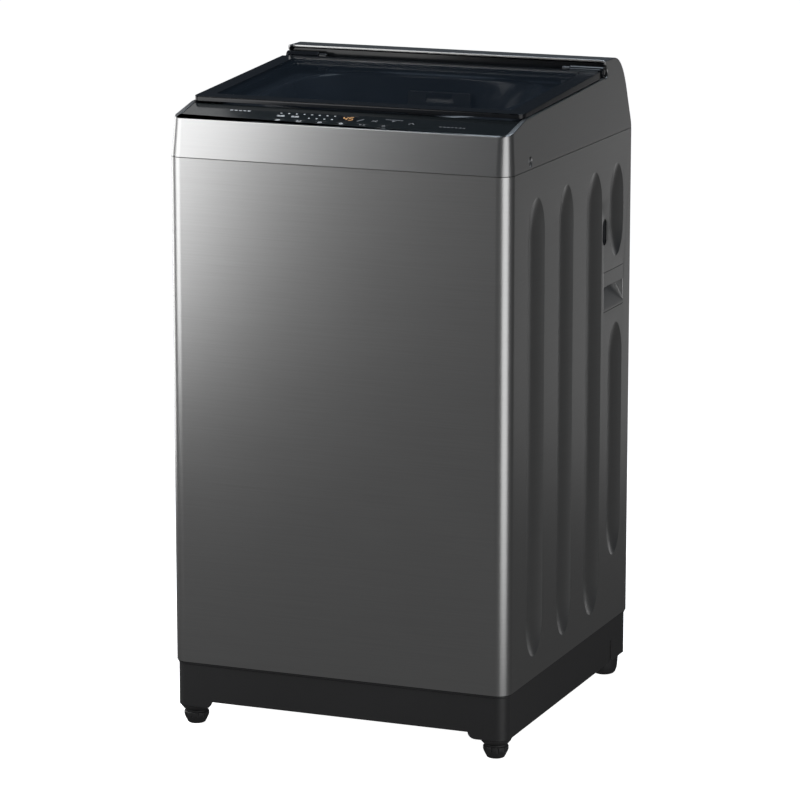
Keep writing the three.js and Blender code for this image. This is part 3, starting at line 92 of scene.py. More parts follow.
# ------------------------------------------------------------------ shape sizes
SHEET = 0.8
FRONT_CORNER = 22
REAR_CORNER = 4
REAR_FLANGE = 20
RIB_DEPTH = 9
RIB_TIP = 58
RIB_TOP = SEAM - 45
RIB_BOTTOM = BASE_TOP + 34
LONG_RIBS = [(-157, 72), (-28, 64), (98, 70)]
SHORT_RIB = (200, 65)
HANDLE_LOW, HANDLE_HIGH = limits("handle_cup_right")
PLUG_LOW, PLUG_HIGH = limits("side_plug_right")
LEAN = 8
FRONT_LEAN = 16
TOP_HEIGHT = TOP - SEAM
WALL = 3
SKIN = 4
SLIVER = 0.3  # edges shorter than this make a bevel spike
FASCIA = SEAM + 57
RIM_FRONT = SEAM + 73
RIM_SLOPE = 17 / 355
BARREL = 8.5
BARREL_LENGTH = 54
NOTCH = BARREL + 2
PANEL_ANGLE = math.atan2(16, 72)
PANEL_LENGTH = 65.2
PANEL_THICK = 3
HINGE_BORE = 3.4
INLET_PLACE = (150, SEAM + 30)
DRAIN_PLACE = (-150, REAR - 120)
DRAIN_LINE = BASE_BOTTOM + 34


def rim_z(y):
    """Height of the side rims at y."""
    return RIM_FRONT + RIM_SLOPE * (y - LID_FRONT)


# ------------------------------------------------------------------ shape helpers
def skin(bm, loops, closed=False, cyclic=True):
    """Adds quads between successive loops, which have as many points each."""
    rows = [[bm.verts.new(point) for point in loop] for loop in loops]
    if closed:
        rows.append(rows[0])
    for low, high in zip(rows, rows[1:]):
        count = len(low)
        for i in range(count if cyclic else count - 1):
            j = (i + 1) % count
            bm.faces.new((low[i], low[j], high[j], high[i]))
    return rows


def surface(loops, closed=False, capped=True, cyclic=True):
    """A new shape of quads between loops, closed into a ring or capped at both ends."""
    bm = bmesh.new()
    rows = skin(bm, loops, closed, cyclic)
    if capped and not closed:
        bm.faces.new(list(reversed(rows[0])))
        bm.faces.new(rows[-1])
    return bm


def tidy(bm, distance=0.01):
    """Merges doubled points and turns every face outwards."""
    bmesh.ops.remove_doubles(bm, verts=bm.verts, dist=distance)
    bmesh.ops.dissolve_degenerate(bm, edges=bm.edges, dist=distance)
    bmesh.ops.recalc_face_normals(bm, faces=bm.faces)
    return bm


AXES = {
    "X": lambda a, b, h: (h, a, b),
    "Y": lambda a, b, h: (a, h, b),
    "Z": lambda a, b, h: (a, b, h),
}


def prism(outline, low, high, axis="Z"):
    """An outline drawn out along an axis."""
    place = AXES[axis]
    return tidy(surface([[place(a, b, h) for a, b in outline] for h in (low, high)]))


def box(x0, x1, y0, y1, z0, z1):
    return prism([(x0, y0), (x1, y0), (x1, y1), (x0, y1)], z0, z1)


def arc(x, y, rx, ry, start, end, steps):
    """Points on part of an ellipse; the angles are in degrees."""
    angles = [math.radians(start + (end - start) * i / steps) for i in range(steps + 1)]
    return [(x + rx * math.cos(a), y + ry * math.sin(a)) for a in angles]


def circle(x, y, radius, steps=32):
    return arc(x, y, radius, radius, 0, 360, steps)[:-1]


def rounded(x0, x1, y0, y1, front, rear=None, steps=8):
    """A rectangle with rounded corners; the front corners are at low y."""
    rear = front if rear is None else rear
    return [
        *arc(x0 + front, y0 + front, front, front, 180, 270, steps),
        *arc(x1 - front, y0 + front, front, front, 270, 360, steps),
        *arc(x1 - rear, y1 - rear, rear, rear, 0, 90, steps),
        *arc(x0 + rear, y1 - rear, rear, rear, 90, 180, steps),
    ]


def stadium(x, y, width, height, steps=10):
    """An upright slot with round ends."""
    r = width / 2
    rise = height / 2 - r
    return arc(x, y + rise, r, r, 0, 180, steps) + arc(x, y - rise, r, r, 180, 360, steps)


def lathe(profile, steps=64, x=0.0, y=0.0, axis="Z"):
    """A solid of revolution from (radius, height) points, closed on itself if it has a bore."""
    place = AXES[axis]
    loops = [[place(a, b, h) for a, b in circle(x, y, r, steps)] for r, h in profile]
    solid = profile[0][0] == 0 and profile[-1][0] == 0
    return tidy(surface(loops, closed=not solid, capped=False))


def rod(radius, low, high, x, y, axis="Z", steps=32, edge=0.0):
    """A round bar with its ends chamfered by edge."""
    e = edge
    profile = [(0, low), (radius - e, low), (radius, low + e), (radius, high - e), (radius - e, high)]
    return lathe([*profile, (0, high)], steps, x, y, axis)


def tube(points, radius, sides=12, closed=False):
    """A round wire or hose along a line of points."""
    points = [Vector(p) for p in points]
    count = len(points)
    normal = Vector((0, 0, 1))
    loops = []
    for i, point in enumerate(points):
        before = points[i - 1] if i or closed else point
        after = points[(i + 1) % count] if i < count - 1 or closed else point
        along = (after - before).normalized()
        side = along.cross(normal)
        side = side.normalized() if side.length > 1e-3 else Vector((1, 0, 0))
        up = side.cross(along)
        turn = [2 * math.pi * k / sides for k in range(sides)]
        loops.append([point + radius * (math.cos(a) * side + math.sin(a) * up) for a in turn])
    return tidy(surface(loops, closed=closed), 1e-4)


def placed(bm, matrix):
    bmesh.ops.transform(bm, matrix=matrix, verts=bm.verts)
    return bm


def merged(*parts):
    """Several closed shapes as one mesh, not cut into each other."""
    whole = bmesh.new()
    for part in parts:
        mesh = bpy.data.meshes.new("part")
        part.to_mesh(mesh)
        part.free()
        whole.from_mesh(mesh)
        bpy.data.meshes.remove(mesh)
    return whole


def raw_object(bm):
    mesh = bpy.data.meshes.new("raw")
    bm.to_mesh(mesh)
    bm.free()
    obj = bpy.data.objects.new("raw", mesh)
    bpy.context.scene.collection.objects.link(obj)
    return obj


def combine(operation, base, tools):
    """Cuts, joins or keeps closed shapes with each other, one after another."""
    target = raw_object(base)
    others = [raw_object(tool) for tool in tools]
    for other in others:
        modifier = target.modifiers.new("combine", "BOOLEAN")
        modifier.operation = operation
        modifier.solver = "EXACT"
        modifier.object = other
    graph = bpy.context.evaluated_depsgraph_get()
    mesh = bpy.data.meshes.new_from_object(target.evaluated_get(graph))
    made = bmesh.new()
    made.from_mesh(mesh)
    for obj in [target, *others]:
        bpy.data.meshes.remove(obj.data)
    bpy.data.meshes.remove(mesh)
    return made


def cut(base, *tools):
    return combine("DIFFERENCE", base, tools)


def join(base, *tools):
    return combine("UNION", base, tools)


def keep(base, *tools):
    return combine("INTERSECT", base, tools)


def piece(name, bm, material, body="cabinet", stands_for=(), bevel=0.0, angle=32, thick=0.0):
    """Turns a shape into a piece of the machine that rides on a CAD body."""
    bmesh.ops.remove_doubles(bm, verts=bm.verts, dist=0.005)
    mesh = bpy.data.meshes.new(name)
    bm.to_mesh(mesh)
    bm.free()
    mesh.transform(Matrix.Scale(MM, 4))
    mesh.shade_smooth()
    obj = bpy.data.objects.new(name, mesh)
    bpy.context.scene.collection.objects.link(obj)
    mesh.materials.append(material)
    if thick:
        solidify = obj.modifiers.new("sheet", "SOLIDIFY")
        solidify.thickness = thick * MM
        solidify.offset = -1
    if bevel:
        edge = obj.modifiers.new("edges", "BEVEL")
        edge.width = bevel * MM
        edge.segments = 3
        edge.limit_method = "ANGLE"
        edge.angle_limit = math.radians(angle)
        edge.use_clamp_overlap = False
        edge.miter_outer = "MITER_ARC"
    else:
        mesh.set_sharp_from_angle(angle=math.radians(angle))
    normals = obj.modifiers.new("normals", "WEIGHTED_NORMAL")
    normals.keep_sharp = True
    if body:
        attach(obj, body)
    if stands_for:
        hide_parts(*stands_for)
    return obj


# ------------------------------------------------------------------ materials
def finish(name, color, roughness, metallic=0.0, grain=400.0, stretch=(1, 1, 1), shade=0.08,
           spread=0.05, relief=0.1, depth=0.0002, **constants):
    """A Principled material whose colour, roughness and relief vary with fine and broad noise."""
    material = bpy.data.materials.new(name)
    material.use_nodes = True
    nodes = material.node_tree.nodes
    links = material.node_tree.links
    shader = nodes["Principled BSDF"]
    place = nodes.new("ShaderNodeTexCoord")
    mapping = nodes.new("ShaderNodeMapping")
    mapping.inputs["Scale"].default_value = stretch
    links.new(place.outputs["Object"], mapping.inputs["Vector"])
    fine = nodes.new("ShaderNodeTexNoise")
    fine.inputs["Scale"].default_value = grain
    fine.inputs["Detail"].default_value = 3
    links.new(mapping.outputs["Vector"], fine.inputs["Vector"])
    broad = nodes.new("ShaderNodeTexNoise")
    broad.inputs["Scale"].default_value = 7
    links.new(place.outputs["Object"], broad.inputs["Vector"])
    both = nodes.new("ShaderNodeMath")
    both.operation = "MULTIPLY_ADD"
    both.inputs[1].default_value = 0.35
    links.new(broad.outputs["Fac"], both.inputs[0])
    links.new(fine.outputs["Fac"], both.inputs[2])
    tone = nodes.new("ShaderNodeMapRange")
    tone.inputs["From Min"].default_value = 0.35
    tone.inputs["From Max"].default_value = 1.0
    links.new(both.outputs["Value"], tone.inputs["Value"])
    mix = nodes.new("ShaderNodeMix")
    mix.data_type = "RGBA"
    mix.inputs["A"].default_value = (*[c * (1 - shade) for c in color], 1)
    mix.inputs["B"].default_value = (*[c * (1 + shade) for c in color], 1)
    links.new(tone.outputs["Result"], mix.inputs["Factor"])
    links.new(mix.outputs["Result"], shader.inputs["Base Color"])
    rough = nodes.new("ShaderNodeMapRange")
    rough.inputs["To Min"].default_value = roughness - spread
    rough.inputs["To Max"].default_value = roughness + spread
    links.new(tone.outputs["Result"], rough.inputs["Value"])
    links.new(rough.outputs["Result"], shader.inputs["Roughness"])
    bump = nodes.new("ShaderNodeBump")
    bump.inputs["Strength"].default_value = relief
    bump.inputs["Distance"].default_value = depth
    links.new(fine.outputs["Fac"], bump.inputs["Height"])
    links.new(bump.outputs["Normal"], shader.inputs["Normal"])
    shader.inputs["Metallic"].default_value = metallic
    for socket, value in constants.items():
        shader.inputs[socket.replace("_", " ")].default_value = value
    return material


BRUSHED = (0.012, 0.012, 1)

TITANIUM_PAINT = finish("titanium_paint", (0.30, 0.30, 0.30), 0.34, metallic=0.97, grain=700,
                        stretch=BRUSHED, shade=0.05, spread=0.008, relief=0.03, depth=0.0001)
TITANIUM_PLASTIC = finish("titanium_plastic", (0.30, 0.30, 0.30), 0.34, metallic=0.97, grain=700,
                          stretch=BRUSHED, shade=0.03, spread=0.006, relief=0.02, depth=0.0001)
BLACK_GLOSS = finish("black_gloss", (0.010, 0.012, 0.013), 0.12, grain=90, shade=0.15, spread=0.03,
                     relief=0.03, depth=0.0002)
BLACK_PLASTIC = finish("black_plastic", (0.016, 0.017, 0.019), 0.34, grain=1400, shade=0.25, relief=0.25)
# Black deck plastic given a lighter, bluer base colour: a painted sheen that stands in for the highlight
# on the tub-mouth ring seen through the lid.
DECK_PLASTIC_PAINTED_SHEEN = finish("deck_plastic_painted_sheen", (0.030, 0.036, 0.046), 0.24, grain=900, shade=0.1, spread=0.03,
                      relief=0.05)
LID_BLACK = finish("lid_black", (0.009, 0.010, 0.012), 0.16, grain=90, shade=0.15, spread=0.03,
                   relief=0.02, depth=0.0002, Specular_IOR_Level=0.22)
PLINTH_PLASTIC = finish("plinth_plastic", (0.022, 0.022, 0.023), 0.46, grain=1200, shade=0.2, relief=0.2)
SMOKED_GLASS = finish("smoked_glass", (0.010, 0.016, 0.024), 0.04, grain=30, shade=0.2, spread=0.01,
                      relief=0.01, depth=0.0001, Alpha=0.30)
TUB_PLASTIC = finish("tub_plastic", (0.62, 0.64, 0.66), 0.45, grain=900, shade=0.05, relief=0.15)
STAINLESS = finish("stainless", (0.60, 0.61, 0.62), 0.26, metallic=1.0, grain=600, stretch=BRUSHED,
                   relief=0.1, depth=0.0001)
ZINC_STEEL = finish("zinc_steel", (0.50, 0.51, 0.53), 0.36, metallic=0.95, grain=260, shade=0.15)
SPRING_STEEL = finish("spring_steel", (0.16, 0.165, 0.18), 0.35, metallic=0.9, grain=500, shade=0.2)
CAST_ALUMINIUM = finish("cast_aluminium", (0.50, 0.51, 0.52), 0.5, metallic=0.85, grain=700, relief=0.5,
                        depth=0.0004)
BELT_RUBBER = finish("belt_rubber", (0.014, 0.014, 0.014), 0.75, grain=900, shade=0.3, relief=0.3)
FOOT_RUBBER = finish("foot_rubber", (0.020, 0.020, 0.021), 0.55, grain=900, shade=0.3, relief=0.3)
BOARD_GREEN = finish("board_green", (0.03, 0.14, 0.06), 0.4, grain=700, shade=0.4, relief=0.3)
WHITE_PLASTIC = finish("white_plastic", (0.72, 0.72, 0.70), 0.4, grain=800, shade=0.04, relief=0.1)
DISPLAY_SMOKE = finish("display_smoke", (0.008, 0.008, 0.009), 0.08, grain=80, shade=0.2, spread=0.02)
# White print and lamp dots: the emission lights the panel's lamp dots, and on the printed signs, captions
# and name plate, which are no lamps, it is a painted glow.
PRINT_WHITE_LAMP_AND_PAINTED_GLOW = finish("print_white_lamp_and_painted_glow", (0.55, 0.56, 0.58), 0.5, grain=1500, shade=0.1,
                     Emission_Color=(0.8, 0.85, 0.9, 1), Emission_Strength=0.12)
PRINT_DIM = finish("print_dim", (0.20, 0.20, 0.21), 0.5, grain=1500, shade=0.1)
DIGIT_ORANGE = finish("digit_orange", (0.55, 0.28, 0.10), 0.5, grain=1500, shade=0.1,
                      Emission_Color=(1.0, 0.55, 0.22, 1), Emission_Strength=0.35)


# ------------------------------------------------------------------ cabinet
def plan(inset, front=None, rear=None, steps=10):
    """The cabinet's outline seen from above, moved inwards."""
    front = inset if front is None else front
    rear = inset if rear is None else rear
    x = HALF - inset
    corner = max(FRONT_CORNER - inset, 1)
    return rounded(-x, x, FRONT + front, REAR - rear, corner, max(REAR_CORNER - inset, 1), steps)


def fill(bm, loops):
    """A flat face inside the first loop, with the other loops as holes."""
    edges = []
    for loop in loops:
        verts = [bm.verts.new(point) for point in loop]
        edges += [bm.edges.new((verts[i - 1], verts[i])) for i in range(len(verts))]
    bmesh.ops.triangle_fill(bm, use_beauty=True, edges=edges)


def rib_loop(y, width, bottom, top, share, tip=RIB_TIP, steps=20):
    """The long oval of a pressed rib, shrunk to a share of its width."""
    half = width / 2 * share
    end = tip * share
    return [
        *arc(y, top - tip, half, end, 0, 180, steps),
        *arc(y, bottom + tip, half, end, 180, 360, steps),
    ]


def rib_depth(share, depth):
    return depth * (1 - share * share)


def press_rib(bm, place, y, width, bottom, top, depth=RIB_DEPTH, tip=RIB_TIP, rings=12):
    """The pressed hollow of a rib; place(a, b, depth) gives a point of the wall."""
    loops = []
    for i in range(rings + 1):
        share = math.cos(math.pi / 2 * i / rings)
        loop = rib_loop(y, width, bottom, top, share, tip)
        loops.append([place(a, b, rib_depth(share, depth)) for a, b in loop])
    skin(bm, loops)


def side_ribs():
    short_y, short_width = SHORT_RIB
    long = [(y, width, RIB_BOTTOM, RIB_TOP) for y, width in LONG_RIBS]
    low = (short_y, short_width, BASE_TOP + 106, HANDLE_LOW.z - 23)
    high = (short_y, short_width, HANDLE_HIGH.z + 18, RIB_TOP)
    return [*long, low, high]


def side_wall(bm, sign, z0, z1):
    """One side of the cabinet: a flat sheet with ribs, and holes for the grip and the plug."""
    def place(y, z, depth=0.0):
        return (sign * (HALF - depth), y, z)

    y0 = FRONT + FRONT_CORNER
    y1 = REAR - REAR_CORNER
    edge = GAP
    grip = rounded(HANDLE_LOW.y - edge, HANDLE_HIGH.y + edge,
                   HANDLE_LOW.z - edge, HANDLE_HIGH.z + edge, 2)
    plug = plug_outline(GAP)
    outlines = [[(y0, z0), (y1, z0), (y1, z1), (y0, z1)], grip, plug]
    outlines += [rib_loop(*rib, 1.0) for rib in side_ribs()]
    fill(bm, [[place(a, b) for a, b in outline] for outline in outlines])
    for rib in side_ribs():
        press_rib(bm, place, *rib)


PLUG_FACE = (18, 40)


def plug_outline(grow=0.0):
    y = (PLUG_LOW.y + PLUG_HIGH.y) / 2
    z = (PLUG_LOW.z + PLUG_HIGH.z) / 2
    return stadium(y, z, PLUG_FACE[0] + 2 * grow, PLUG_FACE[1] + 2 * grow)


def wrapper_front():
    """The line of the sheet from one side's front edge to the other's, seen from above."""
    r = FRONT_CORNER
    return [
        *arc(-HALF + r, FRONT + r, r, r, 180, 270, 14),
        *arc(HALF - r, FRONT + r, r, r, 270, 360, 14),
    ]


def wrapper_rear(sign):
    """The folded rear edge on one side, seen from above."""
    r = REAR_CORNER
    fold = arc(HALF - r, REAR - r, r, r, 0, 90, 6)
    inner = HALF - REAR_FLANGE
    line = [*fold, (inner, REAR), (inner, REAR - 10)]
    return [(sign * x, y) for x, y in line]


def sheet_strip(bm, line, z0, z1):
    """An upright strip of sheet over a line seen from above."""
    skin(bm, [[(x, y, z) for x, y in line] for z in (z0, z1)], cyclic=False)


def face_outwards(bm, axis, sign):
    """Turns the whole surface so that its face furthest along an axis looks that way."""
    bmesh.ops.remove_doubles(bm, verts=bm.verts, dist=0.01)
    bmesh.ops.dissolve_degenerate(bm, edges=bm.edges, dist=0.01)
    bmesh.ops.recalc_face_normals(bm, faces=bm.faces)
    outer = max(bm.faces, key=lambda f: (sign * f.normal[axis]) ** 2 * f.calc_area())
    if outer.normal[axis] * sign < 0:
        bmesh.ops.reverse_faces(bm, faces=bm.faces)


def gusset(sx, sy):
    """The corner plate that a suspension rod hangs from."""
    leg = 140
    clip = 0.8 * FRONT_CORNER
    x = sx * (HALF - SHEET)
    y = FRONT + SHEET if sy < 0 else REAR - 3 * SHEET - GAP
    outline = [(x - sx * leg, y), (x - sx * clip, y), (x, y - sy * clip), (x, y - sy * leg)]
    z = SEAM - 20
    rod_low, rod_high = limits("suspension_rod_rear_right")
    hole = circle(sx * (rod_low.x + rod_high.x) / 2, sy * (rod_low.y + rod_high.y) / 2, 6)
    return cut(prism(outline, z - WALL, z), prism(hole, z - 10, z + 10))


def cabinet_shell():
    bm = bmesh.new()
    z0, z1 = CABINET_LOW.z, CABINET_HIGH.z
    sheet_strip(bm, wrapper_front(), z0, z1)
    for sign in (-1, 1):
        side_wall(bm, sign, z0, z1)
        sheet_strip(bm, wrapper_rear(sign), z0, z1)
    face_outwards(bm, 1, -1)
    piece("cabinet_shell", bm, TITANIUM_PAINT, stands_for=["cabinet"],
          thick=SHEET, angle=28)
    plates = merged(*[gusset(sx, sy) for sx in (-1, 1) for sy in (-1, 1)])
    piece("rod_gussets", plates, ZINC_STEEL, bevel=0.4)


# ------------------------------------------------------------------ grip cups, plugs and screws
def grip_cup(side, sign):
    """A grip let into the side, with a slanted back and a lip on top."""
    depth, sill, lip, lip_thick, wall = 28, 6, 23, 7.5, 2
    y0, y1, z0, z1 = HANDLE_LOW.y, HANDLE_HIGH.y, HANDLE_LOW.z, HANDLE_HIGH.z

    def across(points, low, high):
        return prism([(sign * (HALF - inwards), z) for inwards, z in points], low, high, "Y")

    body = across([(0, z0), (wall, z0), (depth, z1 - wall), (depth, z1), (0, z1)], y0, y1)
    pocket = across([(-5, z0 + sill), (0, z0 + sill), (depth - wall, z1 - wall), (lip_thick, z1 - wall),
                     (lip_thick, z1 - lip), (-5, z1 - lip)], y0 + wall, y1 - wall)
    piece("grip_" + side, cut(body, pocket), TITANIUM_PLASTIC, stands_for=["handle_cup_" + side],
          bevel=0.8)


def blanking_plug(side, sign):
    """A black oval plug with a dished face."""
    middle = (PLUG_LOW.y + 12, PLUG_LOW.z + 23)
    flange = stadium(*middle, PLUG_FACE[0] + 5, PLUG_FACE[1] + 5)
    rows = [[(sign * (HALF - depth), y, z) for y, z in flange] for depth in (4.8, 4.1)]
    for grow, depth in [(-0.3, 4), (-0.3, 2.0), (-1.2, 1.2), (-2.2, 1.6), (-4.5, 3.4), (-8.5, 4.2)]:
        width = PLUG_FACE[0] + 2 * grow
        outline = stadium(*middle, max(width, 1), PLUG_FACE[1] + 2 * grow)
        rows.append([(sign * (HALF - depth), y, z) for y, z in outline])
    piece("plug_" + side, tidy(surface(rows)), BLACK_PLASTIC, stands_for=["side_plug_" + side],
          angle=40)


def frame_screw(side, sign):
    """A pan-head screw with a cross recess, deep in its hole in the top frame."""
    low, high = limits("top_screw_" + side)
    y, z = (low.y + high.y) / 2, (low.z + high.z) / 2
    seat = high.x - 2.6 if sign > 0 else -low.x - 2.6
    profile = [(0, -12), (1.6, -12), (2.2, -10), (2.2, 0), (4.6, 0)]
    profile += [(4.4, 1.3), (3.2, 2.2), (1.6, 2.6), (0, 2.6)]
    head = lathe([(r, sign * (seat + h)) for r, h in profile], 32, y, z, "X")
    reach = sorted((sign * (seat + 1.2), sign * (seat + 4)))
    cross = [prism(rounded(y - a, y + a, z - b, z + b, 0.2), *reach, "X")
             for a, b in [(2.4, 0.5), (0.5, 2.4)]]
    piece("screw_" + side, cut(head, *cross), ZINC_STEEL, stands_for=["top_screw_" + side],
          bevel=0.12)


# ------------------------------------------------------------------ top frame
def top_outline(drop=0.0):
    """The top's side view: fascia, slanted panel side, rim, hinge notch and console hump."""
    console = HINGE_Y + 2
    curve_start = Vector((REAR - 12, TOP - 64))
    curve_peak = Vector((REAR - 23, TOP))
    curve_end = Vector((console + 42, TOP))
    points = [(FRONT - 30, SEAM - 30), (REAR, SEAM - 30), (REAR, SEAM)]
    for i in range(17):
        t = i / 16
        u = 1 - t
        points.append(tuple(u ** 2 * curve_start + 2 * t * u * curve_peak + t * t * curve_end))
    points.append((console, TOP))
    points += arc(HINGE_Y, HINGE_Z, NOTCH, NOTCH, 72, -129.6, 24)
    points.append((HINGE_Y - NOTCH, rim_z(HINGE_Y - NOTCH)))
    points.append((LID_FRONT + 4, rim_z(LID_FRONT + 4)))
    points.append((FRONT + 8, FASCIA))
    points.append((FRONT - 30, FASCIA))
    return [(y, z - drop) for y, z in points]


def top_body(inset, drop):
    low = [(x, y, SEAM + 0.01) for x, y in plan(inset)]
    side = LEAN + inset
    high = [(x, y, TOP + 0.01) for x, y in plan(side, FRONT_LEAN + inset, inset)]
    leaning = tidy(surface([low, high]))
    return keep(leaning, prism(top_outline(drop), -HALF - 5, HALF + 5, "X"))


def screw_hole(sign):
    """Boss, pocket and bore of one frame screw."""
    low, high = limits("top_screw_right")
    y, z = (low.y + high.y) / 2, (low.z + high.z) / 2
    face = HALF - LEAN * (z - SEAM) / TOP_HEIGHT

    def across(r, a, b, drop=0.0):
        return rod(r, *sorted((sign * (face - a), sign * (face - b))), y, z - drop, "X")

    return across(11, 1.5, 10, -5.5), [across(6.5, -5, 5), across(3.9, -5, 4, 4.6), across(2.6, 0, 20)]


def top_shell():
    console = HINGE_Y + NOTCH + 1
    edge = PANEL_FRONT - GAP
    opening = rounded(-RIM_INNER, RIM_INNER, edge, console, 4, 1)
    skirt = cut(prism(plan(1.2), SEAM - 10, SEAM + 2), prism(plan(WALL - 0.8), SEAM - 15, SEAM + 5))
    hollow = top_body(WALL, SKIN)
    floor = prism(plan(WALL), SEAM - 5, SEAM + 1)
    shell = cut(top_body(0, 0), hollow, floor, prism(opening, SEAM - 5, TOP + 5))
    bosses, holes = zip(*[screw_hole(sign) for sign in (-1, 1)])
    shell = join(shell, skirt, *bosses)
    inlet = rod(19, REAR - 30, REAR + 5, *INLET_PLACE, "Y")
    shell = cut(shell, *[hole for group in holes for hole in group], inlet)
    piece("top_shell", tidy(shell, SLIVER), TITANIUM_PLASTIC, stands_for=["top_frame"],
          bevel=1.1)


# ------------------------------------------------------------------ control panel
def panel_matrix():
    """From the panel's own plane, y up the slope, to the machine."""
    place = Matrix.Translation((0, PANEL_FRONT, FASCIA))
    return place @ Matrix.Rotation(PANEL_ANGLE, 4, "X")


KEY_NAMES = ["program", "water_level", "wash", "spin", "start_pause", "power"]
KEY_PITCH = 33.4
FIRST_KEY = -102
KEY_LINE = 15
KEY_SIZE = (17, 8)
DISPLAY = (1, 36, 26, 20)
PRINT = 0.08
LEDS = {"upper": (-107.5, 43, 12.2, 8), "lower": (-58, 29, 12.2, 4)}


def flat(outline, top=PRINT):
    """A thin printed shape on the panel's surface."""
    return prism(outline, -0.05, top)


def bar(x, y, width, height, lean=0.0):
    a, b = width / 2, height / 2
    turn = Matrix.Rotation(math.radians(lean), 2)
    corners = [turn @ Vector(corner) for corner in [(-a, -b), (a, -b), (a, b), (-a, b)]]
    return flat([(x + p.x, y + p.y) for p in corners])


def ring(x, y, radius, width=0.9):
    return cut(flat(circle(x, y, radius)), prism(circle(x, y, radius - width), -1, 1))


def triangle(x, y, size):
    return flat([(x - size / 2, y - size / 2), (x + size / 2, y), (x - size / 2, y + size / 2)])


def program_icon(x, y):
    return [bar(x, y + d, 8 - abs(d), 0.9) for d in (-2, 0, 2)]


def water_icon(x, y):
    return [bar(x - 3, y, 0.9, 6), bar(x + 3, y, 0.9, 6), bar(x, y - 2.6, 6, 0.9), bar(x, y, 4, 0.9)]


def wash_icon(x, y):
    return [ring(x, y, 3), bar(x, y, 3, 0.8, 30)]


def spin_icon(x, y):
    return [ring(x, y, 3), ring(x, y, 1.6, 0.7)]


def start_icon(x, y):
    return [triangle(x - 2.4, y, 4.4), bar(x + 2, y, 0.9, 4.4), bar(x + 3.8, y, 0.9, 4.4)]


def power_icon(x, y):
    return [ring(x, y, 2.8), bar(x, y + 2.4, 1, 3)]


ICONS = [program_icon, water_icon, wash_icon, spin_icon, start_icon, power_icon]


def key_cap(index):
    """One key with its printed sign."""
    name = KEY_NAMES[index]
    x = FIRST_KEY + index * KEY_PITCH
    width, height = KEY_SIZE
    outline = rounded(x - width / 2, x + width / 2, KEY_LINE - height / 2, KEY_LINE + height / 2, 0.8)
    post = rounded(x - 2, x + 2, KEY_LINE - 2, KEY_LINE + 2, 0.4)
    cap = join(prism(outline, -2.2, 0), prism(post, -7.2, -2))
    body = "key_" + name
    piece("cap_" + name, placed(cap, panel_matrix()), BLACK_GLOSS, body, [body],
          bevel=0.25)
    sign = placed(merged(*ICONS[index](x, KEY_LINE)), panel_matrix())
    bright = index < 4
    # the white signs carry a painted glow from their material's emission
    piece("sign_" + name, sign, PRINT_WHITE_LAMP_AND_PAINTED_GLOW if bright else PRINT_DIM, body)


SEGMENTS = {"0": "abcdef", "4": "bcfg", "5": "acdfg"}


def digit(x, y, width, height, shown):
    """A leaning seven-segment numeral."""
    w, h, t = width / 2, height / 2, 1.3
    upright = {"b": (w, h / 2), "c": (w, -h / 2), "e": (-w, -h / 2), "f": (-w, h / 2)}
    level = {"a": h, "g": 0, "d": -h}
    made = [bar(x + a, y + b, t, h - t) for s, (a, b) in upright.items() if s in shown]
    return made + [bar(x, y + b, width - t, t) for s, b in level.items() if s in shown]


def display():
    x, y, width, height = DISPLAY
    pane = rounded(x - width / 2, x + width / 2, y - height / 2, y + height / 2, 0.8)
    piece("display_pane", placed(prism(pane, -2, 0), panel_matrix()), DISPLAY_SMOKE,
          stands_for=["display_window"], bevel=0.2)
    digits = digit(x - 4.6, y + 0.5, 6, 12, SEGMENTS["4"]) + digit(x + 4.6, y + 0.5, 6, 12, SEGMENTS["5"])
    piece("display_digits", placed(merged(*digits), panel_matrix()), DIGIT_ORANGE)


def panel_print():
    """Lamps, captions without words, and plain marks on the panel."""
    bright = []
    for x0, y, pitch, count in LEDS.values():
        bright += [flat(circle(x0 + i * pitch, y, 1.5, 16)) for i in range(count)]
    words = [(-4, 1, 4), (2, 1, 6), (0, -2.2, 12)]
    bright += [bar(x + dx, 33 + dy, w, 1.6) for x in (-104, -81) for dx, dy, w in words]
    dim = [bar(FIRST_KEY + i * KEY_PITCH + dx, KEY_LINE - 8.6, w, 1.3)
           for i in range(6) for dx, w in [(-4.4, 5), (2.6, 7)]]
    dim += [bar(22, 33, 11, 2, 45), bar(19, 29.4, 3, 2, 45)]
    dim += [bar(44, 33, 10, 1.2, -35), bar(44, 33, 10, 1.2, 35)]
    dim += [bar(72, 41, 27, 1.2), triangle(73, 36.5, 5)]
    dim += [bar(101, 31, 7, 1.3, 50), bar(105, 31, 7, 1.3, -50)]
    name_plate = [bar(-188 + 7 * i, 44, 4.5, 2.2) for i in range(5)]
    class_mark = [bar(150 + 6 * i, 25, 4, 1.6) for i in range(7)]
    # the lamp dots glow as lamps; the captions and name plate glow as painted light
    piece("panel_lamps", placed(merged(*bright, *name_plate), panel_matrix()), PRINT_WHITE_LAMP_AND_PAINTED_GLOW)
    piece("panel_marks", placed(merged(*dim, *class_mark), panel_matrix()), PRINT_DIM)


